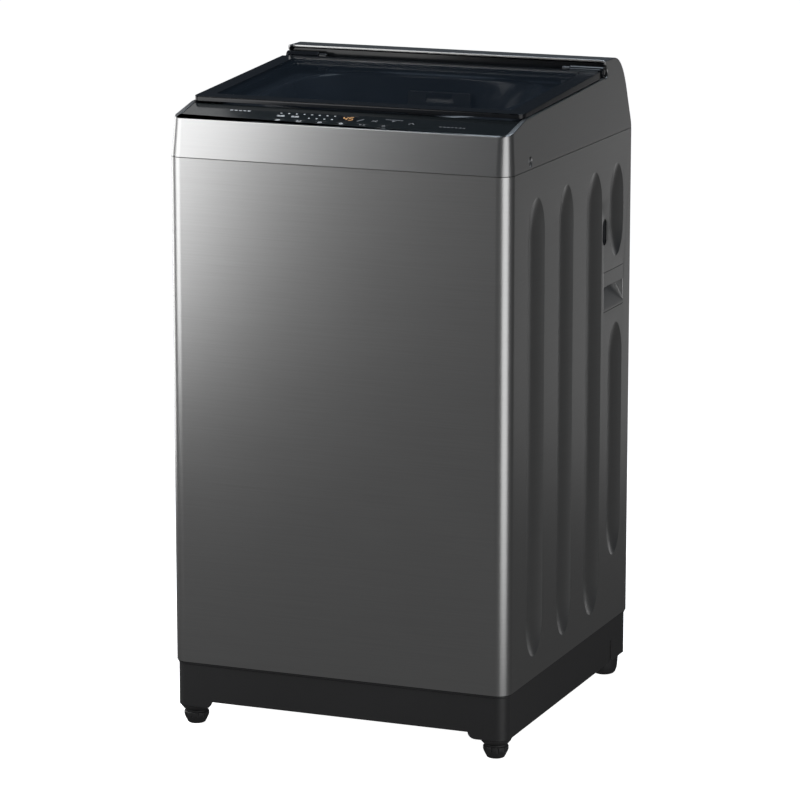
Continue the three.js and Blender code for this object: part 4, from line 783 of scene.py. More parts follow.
def panel_face():
    x = RIM_INNER - GAP
    slab = prism(rounded(-x, x, 0, PANEL_LENGTH, 11, 1), -PANEL_THICK, 0)
    holes = []
    for i in range(len(KEY_NAMES)):
        cx = FIRST_KEY + i * KEY_PITCH
        w, h = KEY_SIZE[0] / 2 + GAP, KEY_SIZE[1] / 2 + GAP
        holes.append(prism(rounded(cx - w, cx + w, KEY_LINE - h, KEY_LINE + h, 1), -9, 9))
    cx, cy, width, height = DISPLAY
    w, h = width / 2 + GAP, height / 2 + GAP
    holes.append(prism(rounded(cx - w, cx + w, cy - h, cy + h, 1), -9, 9))
    face = placed(cut(slab, *holes), panel_matrix())
    piece("panel_face", face, BLACK_GLOSS, stands_for=["control_panel"], bevel=0.5)
    for i in range(len(KEY_NAMES)):
        key_cap(i)
    display()
    panel_print()


# ------------------------------------------------------------------ lid
LID_LIFT = 0.8
LID_FRONT_THICK = 7
LID_REAR_THICK = 12
LID_BORDER = 27
LID_REAR_BORDER = 22
LID_CORNER = 12
GLASS = 4
LEDGE = 7


def lid_matrix():
    """From the lid's top plane, y up the slope, to the machine."""
    front = rim_z(LID_FRONT) + LID_LIFT + LID_FRONT_THICK
    rear = rim_z(LID_REAR) + LID_LIFT + LID_REAR_THICK
    angle = math.atan2(rear - front, LID_REAR - LID_FRONT)
    return Matrix.Translation((0, LID_FRONT, front)) @ Matrix.Rotation(angle, 4, "X")


def pane_outline(inset):
    length = (LID_REAR - LID_FRONT) / math.cos(lid_matrix().to_euler().x)
    x = LID_HALF - LID_BORDER - inset
    return rounded(-x, x, LID_BORDER + inset, length - LID_REAR_BORDER - inset, LID_CORNER - 4)


def lid_border():
    bottom_front = rim_z(LID_FRONT) + LID_LIFT
    bottom_rear = rim_z(LID_REAR) + LID_LIFT
    top_front = bottom_front + LID_FRONT_THICK
    top_rear = bottom_rear + LID_REAR_THICK
    side = [(LID_FRONT, bottom_front), (LID_REAR, bottom_rear), (LID_REAR, top_rear)]
    side += [(LID_FRONT + a, top_front + b) for a, b in [(3, 0.15), (1, -0.6), (0, -2)]]
    slab = keep(prism(side, -HALF, HALF, "X"),
                prism(rounded(-LID_HALF, LID_HALF, LID_FRONT, LID_REAR, LID_CORNER, 1), SEAM, TOP + 5))
    lip = HINGE_Y - BARREL * 2.5
    middle = (RIM_INNER + LID_HALF) / 2
    half = (LID_HALF - RIM_INNER) / 2 + 1
    corners = [box(s * middle - half, s * middle + half, lip, HINGE_Y, SEAM, TOP) for s in (-1, 1)]
    pocket = GLASS + 0.3 + GAP
    well = placed(prism(pane_outline(-GAP), -pocket, 20), lid_matrix())
    window = placed(prism(pane_outline(LEDGE), -40, 20), lid_matrix())
    frame_ring = cut(slab, *corners, well, window)
    for sign in (-1, 1):
        outer = sign * (LID_HALF - GAP)
        inner = sign * (LID_HALF - GAP - BARREL_LENGTH)
        barrel = rod(BARREL, *sorted((outer, inner)), HINGE_Y, HINGE_Z, "X", 40)
        neck = [(LID_REAR - 1, bottom_rear + 1), (HINGE_Y, HINGE_Z - BARREL + 1),
                (HINGE_Y, HINGE_Z + BARREL - 3), (LID_REAR - 1, top_rear - 0.3)]
        arm = prism(neck, *sorted((sign * (RIM_INNER - 1), inner)), "X")
        reach = sorted((inner - sign * 5, outer - sign * BARREL_LENGTH / 3))
        bore = rod(HINGE_BORE, *reach, HINGE_Y, HINGE_Z, "X")
        disc = rod(6.2, *sorted((outer - sign * 1.2, outer + sign * 2)), HINGE_Y, HINGE_Z, "X")
        core = rod(4.8, *sorted((outer - sign * 3, outer + sign * 4)), HINGE_Y, HINGE_Z, "X")
        ring_groove = cut(disc, core)
        frame_ring = cut(join(frame_ring, barrel, arm), bore, ring_groove)
    piece("lid_border", tidy(frame_ring), LID_BLACK, "lid", ["lid_frame"], bevel=0.8)


def lid_pane():
    pane = placed(prism(pane_outline(0), -0.3 - GLASS, -0.3), lid_matrix())
    piece("lid_pane", pane, SMOKED_GLASS, "lid", ["lid_glass"], bevel=0.7)


# ------------------------------------------------------------------ inner deck
THROAT = 160
MOUTH = (195.5, 156, 8)
DECK_DROP = 10


def squared(value):
    """Pushes a cosine or sine outwards, so that a circle becomes a rounded square."""
    return math.copysign(abs(value) ** (2 / 3.2), value)


def mouth_loop(grow, share, steps=96):
    """A loop that runs from the squarish mouth (share 0) to the round throat (share 1)."""
    half_x, half_y, forward = MOUTH
    points = []
    for i in range(steps):
        a = 2 * math.pi * i / steps
        c, s = math.cos(a), math.sin(a)
        wide = Vector((half_x * squared(c), half_y * squared(s) - forward))
        outwards = Vector((c, s))
        round_point = Vector((THROAT * c, THROAT * s))
        points.append((1 - share) * (wide + grow * outwards) + share * round_point)
    return points


def deck_plate():
    """The black surround of the tub's mouth, rolled over into a funnel."""
    x = RIM_INNER - GAP
    y0 = LID_FRONT + 0.5
    y1 = HINGE_Y + BARREL + 4.5

    def top(y):
        return rim_z(y) - DECK_DROP

    bm = bmesh.new()
    beads = [(17, 0), (15, 1.6), (11.5, 3.0), (7, 3.6), (3, 2.8), (0.5, 0.8), (-1, -2.5)]
    loops = [[(p.x, p.y, top(p.y) + h) for p in mouth_loop(grow, 0)] for grow, h in beads]
    low = SEAM - 4
    for i in range(1, 9):
        share = i / 8
        line = mouth_loop(-1, share ** 0.8)
        loops.append([(p.x, p.y, (top(p.y) - 2.5) * (1 - share) + low * share) for p in line])
    outer = [(-x, y0), (x, y0), (x, y1), (-x, y1)]
    fill(bm, [[(a, b, top(b)) for a, b in outer], loops[0]])
    skin(bm, loops)
    back = [(-x, y1, top(y1)), (x, y1, top(y1)), (x, y1, TOP - SKIN - GAP), (-x, y1, TOP - SKIN - GAP)]
    face_outwards(bm, 2, 1)
    # the deck's lighter blue-grey colour is a painted sheen on black plastic
    piece("deck_surround", bm, DECK_PLASTIC_PAINTED_SHEEN, stands_for=["inner_deck"], thick=2.4,
          angle=50)
    wall = bmesh.new()
    wall.faces.new([wall.verts.new(point) for point in back])
    face_outwards(wall, 1, -1)
    piece("hinge_trough_wall", wall, LID_BLACK, thick=2.4)
    ears = []
    for sign in (-1, 1):
        a = sign * (LID_HALF - GAP - BARREL_LENGTH - 0.8)
        b = a - sign * 12
        outline = [*arc(HINGE_Y, HINGE_Z, 6.5, 6.5, 180, 0, 12), (HINGE_Y + 10, top(HINGE_Y)),
                   (HINGE_Y - 9, top(HINGE_Y))]
        bore = rod(HINGE_BORE, -HALF, HALF, HINGE_Y, HINGE_Z, "X")
        ears.append(cut(prism(outline, *sorted((a, b)), "X"), bore))
    piece("hinge_ears", merged(*ears), BLACK_PLASTIC, bevel=0.5)


# ------------------------------------------------------------------ base and feet
FOOT_PLACE = HALF - 27
COLLAR = 23.5


def arch(sy):
    """The shallow arch between the corner blocks."""
    z = BASE_BOTTOM
    flat_x = HALF - 3 - 60
    points = [(-flat_x - 12, z - 5), (flat_x + 12, z - 5), (flat_x + 12, z)]
    points += arc(flat_x + 12, z + 10, 12, 10, 270, 180, 6)
    points += arc(-flat_x - 12, z + 10, 12, 10, 0, -90, 6)
    return prism(points, *sorted((sy * (REAR - 27), sy * (REAR + 5))), "Y")


def base_skirt():
    z0 = BASE_BOTTOM
    z1 = BASE_TOP - GAP
    shelf_z = BASE_TOP - 14
    walls = cut(prism(plan(3), z0, z1), prism(plan(6), z0 - 5, z1 + 5))
    shelf = cut(prism(plan(4), shelf_z - WALL, shelf_z), prism(plan(50), shelf_z - 10, shelf_z + 10))
    rim = cut(prism(plan(1.6), z1 - WALL, BASE_TOP + 10), prism(plan(6.2), z1 - 10, BASE_TOP + 20))
    base = cut(join(walls, shelf, rim), arch(-1), arch(1))
    collars, bores = [], []
    for sx in (-1, 1):
        for sy in (-1, 1):
            x, y = sx * FOOT_PLACE, sy * FOOT_PLACE
            collars.append(rod(COLLAR, z0, shelf_z - 1, x, y, steps=48))
            if sy < 0:
                cone = [(0, z0 + 1), (COLLAR, z0 + 1), (COLLAR - 0.5, z0 - 3)]
                cone += [(19, z0 - 7.7), (0, z0 - 7.7)]
                collars.append(lathe(cone, 48, x, y))
                bores.append(rod(6.8, 0, shelf_z + 5, x, y))
    vents = []
    for sign in (-1, 1):
        vent = rounded(REAR - 68.5, REAR - 61.5, z0 + 2, z0 + 35, 3)
        vents.append(prism(vent, *sorted((sign * (HALF - 12), sign * (HALF + 12))), "X"))
    drain = rod(15.4, REAR - 30, REAR + 5, DRAIN_PLACE[0], DRAIN_LINE, "Y")
    base = cut(join(base, *collars), *bores, *vents, drain)
    piece("base_skirt", tidy(base), PLINTH_PLASTIC, stands_for=["base_frame"],
          bevel=0.9)


def front_foot(side, sign):
    """A levelling foot: faceted pad, flange and threaded stud."""
    x, y = sign * FOOT_PLACE, -FOOT_PLACE
    pad = [(0, 0), (12, 0), (13.5, 1), (18, 10), (19, 13), (19, 17.5), (18, 18.4), (0, 18.4)]
    collar = [(0, 18.2), (17, 18.2), (17.6, 19), (17.6, 21), (17, 21.5), (0, 21.5)]
    grips = [prism(circle(x + 19 * math.cos(a), y + 19 * math.sin(a), 1.5, 12), 4, 17.6)
             for a in [2 * math.pi * i / 12 for i in range(12)]]
    body = cut(lathe(pad, 48, x, y), *grips)
    stud = [(0, 21)]
    for i in range(31):
        stud.append((6 if i % 2 else 5.2, 21.4 + i * 1.2))
    stud.append((0, 21.4 + 30 * 1.2))
    foot = merged(body, lathe(collar, 48, x, y), lathe(stud, 32, x, y))
    piece("foot_" + side, foot, FOOT_RUBBER, side + "_foot", ["leveling_foot_" + side],
          bevel=0.35)


def back_foot(side, sign):
    """A fixed rear foot with a rounded pad."""
    x, y = sign * FOOT_PLACE, FOOT_PLACE
    top = BASE_BOTTOM - GAP
    profile = [(0, 0), (13, 0), (15.5, 1), (18, 3.6), (20, 9), (21, 15)]
    profile += [(22, top - 1), (21.4, top), (0, top)]
    piece("rear_pad_" + side, lathe(profile, 48, x, y), FOOT_RUBBER, stands_for=["rear_foot_" + side],
          angle=50)


# ------------------------------------------------------------------ detergent drawer and valve
def drawer():
    """The two-pocket tray with a finger edge on its front plate."""
    low, high = limits("detergent_drawer")
    lap, plate, wall = 4, 3, 2
    x = high.x - lap
    y0, y1 = low.y + plate, high.y
    z0, z1 = low.z + lap, high.z - lap
    front = prism(rounded(-x - lap, x + lap, low.z, high.z, 4), low.y, y0, "Y")
    grip = rod(9, -22, 22, low.y - 6.5, high.z - 10, "X")
    tray = prism(rounded(-x, x, y0 - 0.2, y1, 1, 6), z0, z1)
    half = (2 * x - 3 * wall) / 2
    pockets = []
    for cx in (-(half + wall) / 2, (half + wall) / 2):
        outline = rounded(cx - half / 2, cx + half / 2, y0 + wall, y1 - wall, 3, 5)
        pockets.append(prism(outline, z0 + wall, z1 + 5))
    piece("drawer_tray", cut(tray, *pockets), WHITE_PLASTIC, "drawer", ["detergent_drawer"],
          bevel=0.5)
    piece("drawer_front", cut(front, grip), BLACK_PLASTIC, "drawer", bevel=0.7)


def drawer_case():
    low, high = limits("drawer_housing")
    wall = 2
    body = box(low.x, high.x, low.y, high.y, low.z, high.z)
    hollow = box(low.x + wall, high.x - wall, low.y - 5, high.y - wall, low.z + wall, high.z - wall)
    spout = box(-12, 12, low.y + 30, low.y + 60, low.z - 5, low.z + 5)
    piece("drawer_case", cut(body, hollow, spout), WHITE_PLASTIC, stands_for=["drawer_housing"],
          bevel=0.6)


def inlet_valve():
    """The water valve: block, coil, outlet pipe and threaded nozzle."""
    x, z = INLET_PLACE
    y1, size = REAR - 22, 38
    block = prism(rounded(x - size / 2, x + size / 2, y1 - size, y1, 3), z - size / 2, z + size / 2)
    thread = [(8, y1 - 2)]
    for i in range(7):
        y = y1 + 2 + i * 2.6
        thread += [(11.6, y), (13, y + 0.9), (13, y + 1.4), (11.6, y + 2.3)]
    thread += [(11, REAR - 1.2), (10.4, REAR - 0.5), (8, REAR - 0.5)]
    outlet = lathe([(5.5, 51.8), (7.4, 51.8), (8, 53), (8, x), (5.5, x)], 32, y1 - size / 2, z, "X")
    coil = rod(12, z + size / 2 - 2, z + size / 2 + 24, x, y1 - size / 2, edge=1.5)
    screen = [box(x + d - 0.4, x + d + 0.4, y1 - 1.5, y1 - 0.5, z - 7.5, z + 7.5)
              for d in (-5, -2.5, 0, 2.5, 5)]
    block = cut(block, rod(8, y1 - 6, y1 + 5, x, z, "Y"))
    made = merged(block, lathe(thread, 40, x, z, "Y"), outlet, coil, *screen)
    piece("inlet_valve", made, WHITE_PLASTIC, stands_for=["water_inlet_valve"],
          bevel=0.4)


# ------------------------------------------------------------------ back of the cabinet
BACK_RIBS = [(x, 46, 470, 800) for x in (-170, -85, 0, 85, 170)]
BACK_RIB_TIP = 23
GLAND_PLACE = (200, BASE_TOP + 40)
COVER_HALF = 160
COVER_LOW = BASE_TOP + 30
COVER_HIGH = BASE_TOP + 310


def back_sheet():
    """The rear panel, with its pressed ribs, window and screws."""
    low, high = limits("back_panel")
    y = high.y
    bm = bmesh.new()
    window = rounded(-150.4, 150.4, COVER_LOW + 9.6, COVER_HIGH - 9.6, 1)
    gland = circle(*GLAND_PLACE, 9.4)
    outlines = [[(low.x, low.z), (high.x, low.z), (high.x, high.z), (low.x, high.z)], window, gland]
    outlines += [rib_loop(*rib, 1.0, BACK_RIB_TIP) for rib in BACK_RIBS]
    fill(bm, [[(a, y, b) for a, b in outline] for outline in outlines])
    for rib in BACK_RIBS:
        press_rib(bm, lambda a, b, d: (a, y - d, b), *rib, depth=5, tip=BACK_RIB_TIP, rings=6)
    face_outwards(bm, 1, 1)
    piece("back_sheet", bm, ZINC_STEEL, stands_for=["back_panel"],
          thick=SHEET, angle=28)
    heads = []
    for x in (-257, 257):
        for z in (low.z + 12, 360, 610, high.z - 12):
            head = lathe([(0, y), (4, y), (3.6, y + 0.7), (2.4, y + 1.1), (0, y + 1.2)], 24, x, z, "Y")
            heads.append(cut(head, box(x - 2, x + 2, y + 0.6, y + 3, z - 0.4, z + 0.4)))
    piece("back_screws", merged(*heads), ZINC_STEEL)


def louvre_cover():
    """The black cover over the drive, with four slots."""
    x, lap = COVER_HALF, 10
    plate = prism(rounded(-x, x, COVER_LOW, COVER_HIGH, 8), REAR - SHEET, REAR, "Y")
    low = limits("service_cover")[0].y
    block = prism(rounded(-x + lap, x - lap, COVER_LOW + lap, COVER_HIGH - lap, 3), low, REAR - 0.4, "Y")
    inner = lap + 3
    hollow = box(-x + inner, x - inner, low - 5, REAR - 2, COVER_LOW + inner, COVER_HIGH - inner)
    pitch = (COVER_HIGH - COVER_LOW - 2 * lap) / 5
    slots = []
    for i in range(4):
        z = COVER_LOW + lap + pitch * (i + 1)
        slots.append(prism(rounded(-110, 110, z - 4, z + 4, 3.9), REAR - 20, REAR + 5, "Y"))
    piece("louvre_cover", cut(join(plate, block), hollow, *slots), BLACK_PLASTIC,
          stands_for=["service_cover"], bevel=0.35)


def gland():
    low, high = limits("cord_gland")
    x, z = (low.x + high.x) / 2, (low.z + high.z) / 2
    profile = [(4.5, low.y), (9, low.y), (9, REAR - 0.8), (13, REAR - 0.8), (13, REAR - 0.4)]
    profile += [(12.4, REAR), (6, REAR), (4.5, REAR - 1.5)]
    piece("gland_ring", lathe(profile, 40, x, z, "Y"), BLACK_PLASTIC, stands_for=["cord_gland"])


# ------------------------------------------------------------------ tub
TUB_LOW, TUB_HIGH = limits("outer_tub")
TUB = 243
TUB_WALL = 2.5
ROD_PLACE = HALF - 48
CORNERS = [("front_left", -1, -1), ("front_right", 1, -1), ("rear_left", -1, 1), ("rear_right", 1, 1)]
LUG_LOW = limits("suspension_spring_front_left")[1].z + 2.1


def tub_shell():
    """The outer tub with strengthening rings and the lugs that its springs push on."""
    z0, z1 = TUB_LOW.z, TUB_HIGH.z
    inner = TUB - TUB_WALL
    profile = [(20, z0), (TUB - 20, z0), (TUB - 8, z0 + 4), (TUB, z0 + 20)]
    for z in (420, 560, 700):
        profile += [(TUB, z - 3), (TUB + 1.8, z - 2), (TUB + 1.8, z + 2), (TUB, z + 3)]
    profile += [(TUB, z1), (inner, z1), (inner, z0 + 21), (inner - 8, z0 + 8), (TUB - 21, z0 + TUB_WALL)]
    shell = lathe([*profile, (20, z0 + TUB_WALL)], 96)
    lugs, bores = [], [rod(11, z0 - 5, z0 + 10, *DRAIN_PLACE)]
    for _, sx, sy in CORNERS:
        turn = Matrix.Rotation(math.atan2(sy, sx), 4, "Z")
        far = ROD_PLACE * math.sqrt(2) + 15
        arm = prism(rounded(TUB - 1.7, far, -18, 18, 6), LUG_LOW, LUG_LOW + 20)
        lugs.append(placed(arm, turn))
        bores.append(rod(7, LUG_LOW - 5, LUG_LOW + 30, sx * ROD_PLACE, sy * ROD_PLACE))
    made = cut(join(shell, *lugs), *bores)
    piece("tub_shell", tidy(made), TUB_PLASTIC, "tub", ["outer_tub"], angle=35)


def tub_ring():
    z0 = TUB_HIGH.z + GAP
    top = limits("tub_cover")[1].z
    inner = TUB - 43
    profile = [(TUB + 3, z0 - 8), (TUB + 3, z0 + 4), (TUB + 1.5, z0 + 6), (inner + 8, top - 0.6)]
    profile += [(inner + 3, top), (inner, top - 0.8), (inner, top - 3), (inner + 5, top - 4.5)]
    profile += [(TUB - TUB_WALL, z0), (TUB + GAP, z0), (TUB + GAP, z0 - 8)]
    piece("tub_ring", lathe(profile, 96), TUB_PLASTIC, "tub", ["tub_cover"], angle=30)


def perforated_drum():
    """The stainless basket: a wall of small cells, each with a round hole."""
    low, high = limits("basket")
    radius = high.x
    around, up = 84, 24
    margin = 18
    step = (high.z - low.z - 2 * margin) / up
    levels = [low.z, *[low.z + margin + step * i for i in range(up + 1)], high.z]
    bm = bmesh.new()

    def wrap(a, z):
        angle = 2 * math.pi * a / around
        swell = 1.6 * (math.cos(angle * around / 6) ** 8)
        return bm.verts.new(((radius - swell) * math.cos(angle), (radius - swell) * math.sin(angle), z))

    width = 2 * math.pi * radius / around
    hole = 1.9
    for j, (z0, z1) in enumerate(zip(levels, levels[1:])):
        plain = j in (0, len(levels) - 2)
        for i in range(around):
            middle = (z0 + z1) / 2
            cell = [(0, z0), (0.5, z0), (1, z0), (1, middle), (1, z1), (0.5, z1), (0, z1), (0, middle)]
            outer = [wrap(i + a, z) for a, z in cell]
            if plain or (i % 6 == 0) or (i % 6 == 5):
                bm.faces.new(outer)
                continue
            turn = [math.radians(225 + 45 * k) for k in range(8)]
            reach = hole / width
            inner = [wrap(i + 0.5 + reach * math.cos(t), middle + hole * math.sin(t)) for t in turn]
            for k in range(8):
                n = (k + 1) % 8
                bm.faces.new((outer[k], outer[n], inner[n], inner[k]))
    bmesh.ops.remove_doubles(bm, verts=bm.verts, dist=0.02)
    bmesh.ops.recalc_face_normals(bm, faces=bm.faces)
    piece("perforated_drum", bm, STAINLESS, "basket", ["basket"], thick=SHEET, angle=35)


def basket_floor():
    z0, top = limits("basket_base")[0].z, limits("basket_base")[1].z
    wall = limits("basket_base")[1].x
    seat = wall - 1.2
    profile = [(20, z0), (wall, z0), (wall, z0 + 6), (seat, z0 + 6), (seat, top), (seat - 3, top),
               (seat - 6, z0 + 14), (seat - 14, z0 + 7), (160, z0 + 6), (20, z0 + 6)]
    piece("basket_floor", lathe(profile, 96), TUB_PLASTIC, "basket", ["basket_base"],
          angle=40)


def balancer():
    """The liquid-filled ring round the top of the basket."""
    low, high = limits("balance_ring")
    r, inner = high.x, high.x - 31
    profile = [(inner, low.z), (r, low.z), (r, high.z - 5), (r - 1.5, high.z - 1.5), (r - 5, high.z),
               (inner + 10, high.z), (inner + 5, high.z - 1), (inner + 1.5, high.z - 4),
               (inner, high.z - 8)]
    ring_body = lathe(profile, 96)
    grooves = []
    for r0 in (inner + 12, inner + 20):
        z = high.z
        grooves.append(lathe([(r0, z - 1), (r0 + 2, z - 1), (r0 + 2, z + 2), (r0, z + 2)], 96))
    piece("balancer", cut(ring_body, *grooves), BLACK_PLASTIC, "basket", ["balance_ring"],
          angle=35)


def filter_cassette():
    """The lint filter on the basket's wall, with a slotted face."""
    low, high = limits("lint_filter")
    back = limits("basket")[1].x - 2.7
    block = prism(rounded(low.x, high.x, low.z, high.z, 8), low.y, high.y + 10, "Y")
    made = keep(block, rod(back, low.z - 1, high.z + 1, 0, 0, steps=96))
    slots = []
    for i in range(9):
        z = low.z + 22 + i * 10.5
        slots.append(prism(rounded(-24, 24, z, z + 5, 2.4), low.y - 5, low.y + 2.5, "Y"))
    piece("filter_cassette", cut(made, *slots), WHITE_PLASTIC, "basket", ["lint_filter"],
          bevel=0.8)


def agitator_plate():
    """The pulsator: a shallow disc with three swept, smoothly raised wings."""
    low, high = limits("pulsator")
    z0, radius = low.z, high.x
    floor = z0 + 8

    def height(r, a):
        edge = max(0.0, (r / radius - 0.93) / 0.07)
        hub = 16 * math.exp(-((r / 34) ** 2))
        sweep = a + 0.5 * (r / radius)
        wing = 0.5 + 0.5 * math.cos(3 * sweep)
        blade = 15 * wing ** 6 * math.sin(math.pi * min(1.0, max(0.0, (r - 18) / (radius - 26))))
        return min(floor + hub + blade, high.z - 2.2) - 3 * edge * edge

    around, rows = 144, 40
    start = 9.4
    top = []
    for j in range(rows + 1):
        r = start + (radius - start) * j / rows
        ring_points = []
        for i in range(around):
            a = 2 * math.pi * i / around
            ring_points.append((r * math.cos(a), r * math.sin(a), height(r, a)))
        top.append(ring_points)

    def level(r, z):
        return [(x, y, z) for x, y in circle(0, 0, r, around)]

    under = [level(radius, z0 + 3), level(radius - 4, z0), level(start, z0), level(start, z0 + 18)]
    plate = tidy(surface([*top, *under], closed=True))
    piece("agitator_plate", plate, TUB_PLASTIC, "pulsator", ["pulsator"], angle=40)


def agitator_cap():
    low, high = limits("pulsator_cap")
    r = high.x
    profile = [(0, low.z), (r, low.z), (r, low.z + 1.4), (r - 1.6, low.z + 3.4), (r * 0.7, low.z + 5)]
    profile += [(r * 0.5, high.z - 1), (r * 0.45, high.z - 0.2), (0, high.z)]
    piece("agitator_cap", lathe(profile, 64), STAINLESS, "pulsator", ["pulsator_cap"])


# ------------------------------------------------------------------ suspension
SPRING_LOW = limits("suspension_rod_front_left")[0].z + 12.4
SPRING_HIGH = SPRING_LOW + 74


def hanger(corner, sx, sy):
    """One suspension rod: hanging ball above, spring seat and nut below."""
    low = limits("suspension_rod_" + corner)[0]
    x, y = sx * ROD_PLACE, sy * ROD_PLACE
    seat = low.z + 6
    top = SEAM - 20 + GAP
    profile = [(0, low.z), (4, low.z), (5, low.z + 1), (5, seat), (18, seat), (20, seat + 2)]
    profile += [(22, seat + 6), (7, seat + 6), (7, seat + 9), (5, seat + 10), (5, top)]
    profile += arc(0, top, 12, 12.6, 0, 90, 8)[:-1]
    profile.append((0, top + 12.6))
    piece("hanger_" + corner, lathe(profile, 32, x, y), ZINC_STEEL,
          stands_for=["suspension_rod_" + corner], angle=40)


def coil_spring(corner, sx, sy):
    """A round-wire spring between a rod's seat and the tub's lug."""
    wire, radius, turns = 1.5, 17, 4.5
    x, y = sx * ROD_PLACE, sy * ROD_PLACE
    steps = int(turns * 28)
    z0, z1 = SPRING_LOW + 2 * wire, SPRING_HIGH - 2 * wire
    points = []
    for i in range(steps + 1):
        a = 2 * math.pi * turns * i / steps
        points.append((x + radius * math.cos(a), y + radius * math.sin(a), z0 + (z1 - z0) * i / steps))
    made = piece("spring_" + corner, tube(points, wire, 10), SPRING_STEEL, None,
                 ["suspension_spring_" + corner])
    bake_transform(made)


# ------------------------------------------------------------------ drive and drain
BELT_HEIGHT = BASE_TOP + 6
MOTOR_Y = -150
PULLEY_RADIUS = 70
MOTOR_PULLEY_RADIUS = 17.5


def clutch():
    low, high = limits("clutch_housing")
    z0, z1 = low.z, high.z
    profile = [(17.8, z0), (44, z0), (48, z0 + 1), (58, z0 + 12)]
    profile += [(58, z1 - 8), (82, z1 - 8), (82, z1), (17.8, z1)]
    body = lathe(profile, 72)
    fins = []
    for i in range(8):
        fin = box(56, 78, -2, 2, z0 + 30, z1 - 7)
        fin = cut(fin, placed(box(-40, 40, -5, 5, -40, 0), Matrix.Translation((78, 0, z0 + 30)) @
                              Matrix.Rotation(math.radians(-55), 4, "Y")))
        fins.append(placed(fin, Matrix.Rotation(math.pi / 4 * i, 4, "Z")))
    piece("clutch_body", join(body, *fins), CAST_ALUMINIUM, "tub", ["clutch_housing"],
          bevel=0.7)


def motor_can():
    low, high = limits("motor")
    z0, z1 = low.z, high.z
    r = high.x
    profile = [(6.8, z0), (25, z0), (27, z0 + 2), (27, z0 + 9), (46, z0 + 10), (r, z0 + 18)]
    can = lathe([*profile, (r, z1 - 8), (r - 3, z1), (6.8, z1)], 64, 0, MOTOR_Y)
    slots = []
    for i in range(20):
        slot_box = box(r - 6, r + 6, -2.2, 2.2, z0 + 28, z0 + 52)
        place = Matrix.Translation((0, MOTOR_Y, 0)) @ Matrix.Rotation(math.pi / 10 * (i + 0.5), 4, "Z")
        slots.append(placed(slot_box, place))
    piece("motor_can", cut(can, *slots), ZINC_STEEL, "tub", ["motor"], bevel=0.3)


def pulley(name, radius, bore, y, body, node, material, windows=0, shaft=None):
    """A flanged wheel for the belt; shaft gives a radius, a lower and an upper end."""
    z, half, rim = BELT_HEIGHT, 5.5, radius + 4
    section = [(bore, 8.5), (rim - 0.8, 8.5), (rim, 7.7), (rim, half), (radius, half - 0.8)]
    profile = [(r, z - h) for r, h in section] + [(r, z + h) for r, h in reversed(section)]
    wheel = lathe(profile, 64, 0, y)
    tools = []
    for i in range(windows):
        a = 2 * math.pi * i / windows
        reach = radius * 0.58
        tools.append(rod(radius * 0.22, z - 20, z + 20, reach * math.cos(a), y + reach * math.sin(a)))
    if tools:
        wheel = cut(wheel, *tools)
    if shaft:
        wheel = merged(wheel, rod(shaft[0], shaft[1], shaft[2], 0, y, edge=0.6))
    piece(name, wheel, material, body, [node], bevel=0.3)


BELT_SECTION = [(1, -4.5), (5.5, -4.5), (5.5, 4.5), (1, 4.5), (1, 2.7), (2, 1.8), (1, 0.9), (1, -0.9),
                (2, -1.8), (1, -2.7)]


def belt():
    """A ribbed belt round both pulleys."""
    def outline(big, small):
        lean = math.degrees(math.asin((big - small) / -MOTOR_Y))
        return [*arc(0, 0, big, big, -lean, 180 + lean, 48),
                *arc(0, MOTOR_Y, small, small, 180 + lean, 360 - lean, 32)]

    z = BELT_HEIGHT
    rows = []
    for grow, rise in BELT_SECTION:
        loop = outline(PULLEY_RADIUS + grow, MOTOR_PULLEY_RADIUS + grow)
        rows.append([(a, b, z + rise) for a, b in loop])
    piece("ribbed_belt", tidy(surface(rows, closed=True)), BELT_RUBBER, "tub", ["drive_belt"],
          angle=30)


def drain_parts():
    """The drain valve under the tub, its corrugated hose and the outlet pipe."""
    x, y = DRAIN_PLACE
    low, high = limits("drain_valve")
    z0, z1 = low.z, high.z
    profile = [(11, z0), (14, z0), (15, z0 + 1), (15, z0 + 6), (28, z0 + 6), (30, z0 + 8)]
    profile += [(30, z1 - 5), (29, z1 - 5), (29, z1 - 3), (30, z1 - 3), (30, z1), (11, z1)]
    body = lathe(profile, 48, x, y)
    actuator = prism(rounded(x + 28, high.x, y - 14, y + 14, 3), z1 - 30, z1)
    rim = prism(rounded(x + 34, high.x - 6, y - 9, y + 9, 2), z1 - 31, z1 - 29)
    piece("drain_body", merged(body, cut(actuator, rim)), BLACK_PLASTIC, "tub", ["drain_valve"],
          bevel=0.5)
    hose_low, hose_high = limits("drain_hose")
    profile = [(12.4, hose_low.z), (14, hose_low.z)]
    waves = 7
    rise = hose_high.z - hose_low.z
    for i in range(waves * 6 + 1):
        a = 2 * math.pi * i / 6
        profile.append((15.4 - 1.4 * math.cos(a), hose_low.z + 1 + (rise - 2) * i / (waves * 6)))
    profile += [(14, hose_high.z), (12.4, hose_high.z)]
    steps = 12
    inner = [(12.4, hose_high.z - rise * i / steps) for i in range(1, steps)]
    hose = piece("corrugated_hose", lathe([*profile, *inner], 40, x, y), BLACK_PLASTIC, None,
                 ["drain_hose"], angle=60)
    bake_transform(hose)
    line = DRAIN_LINE
    top = hose_low.z - GAP
    upright = rod(15, line, top, x, y)
    along = rod(15, y, REAR - 0.5, x, line, "Y")
    elbow = lathe([(0, line - 15), (7.5, line - 13), (13, line - 7.5), (15, line), (0, line)], 32, x, y)
    bore_up = rod(11, line, top + 5, x, y)
    bore_along = rod(11, y - 5, REAR + 5, x, line, "Y")
    piece("drain_pipe", cut(join(upright, along, elbow), bore_up, bore_along), BLACK_PLASTIC,
          stands_for=["drain_outlet"], bevel=0.5)


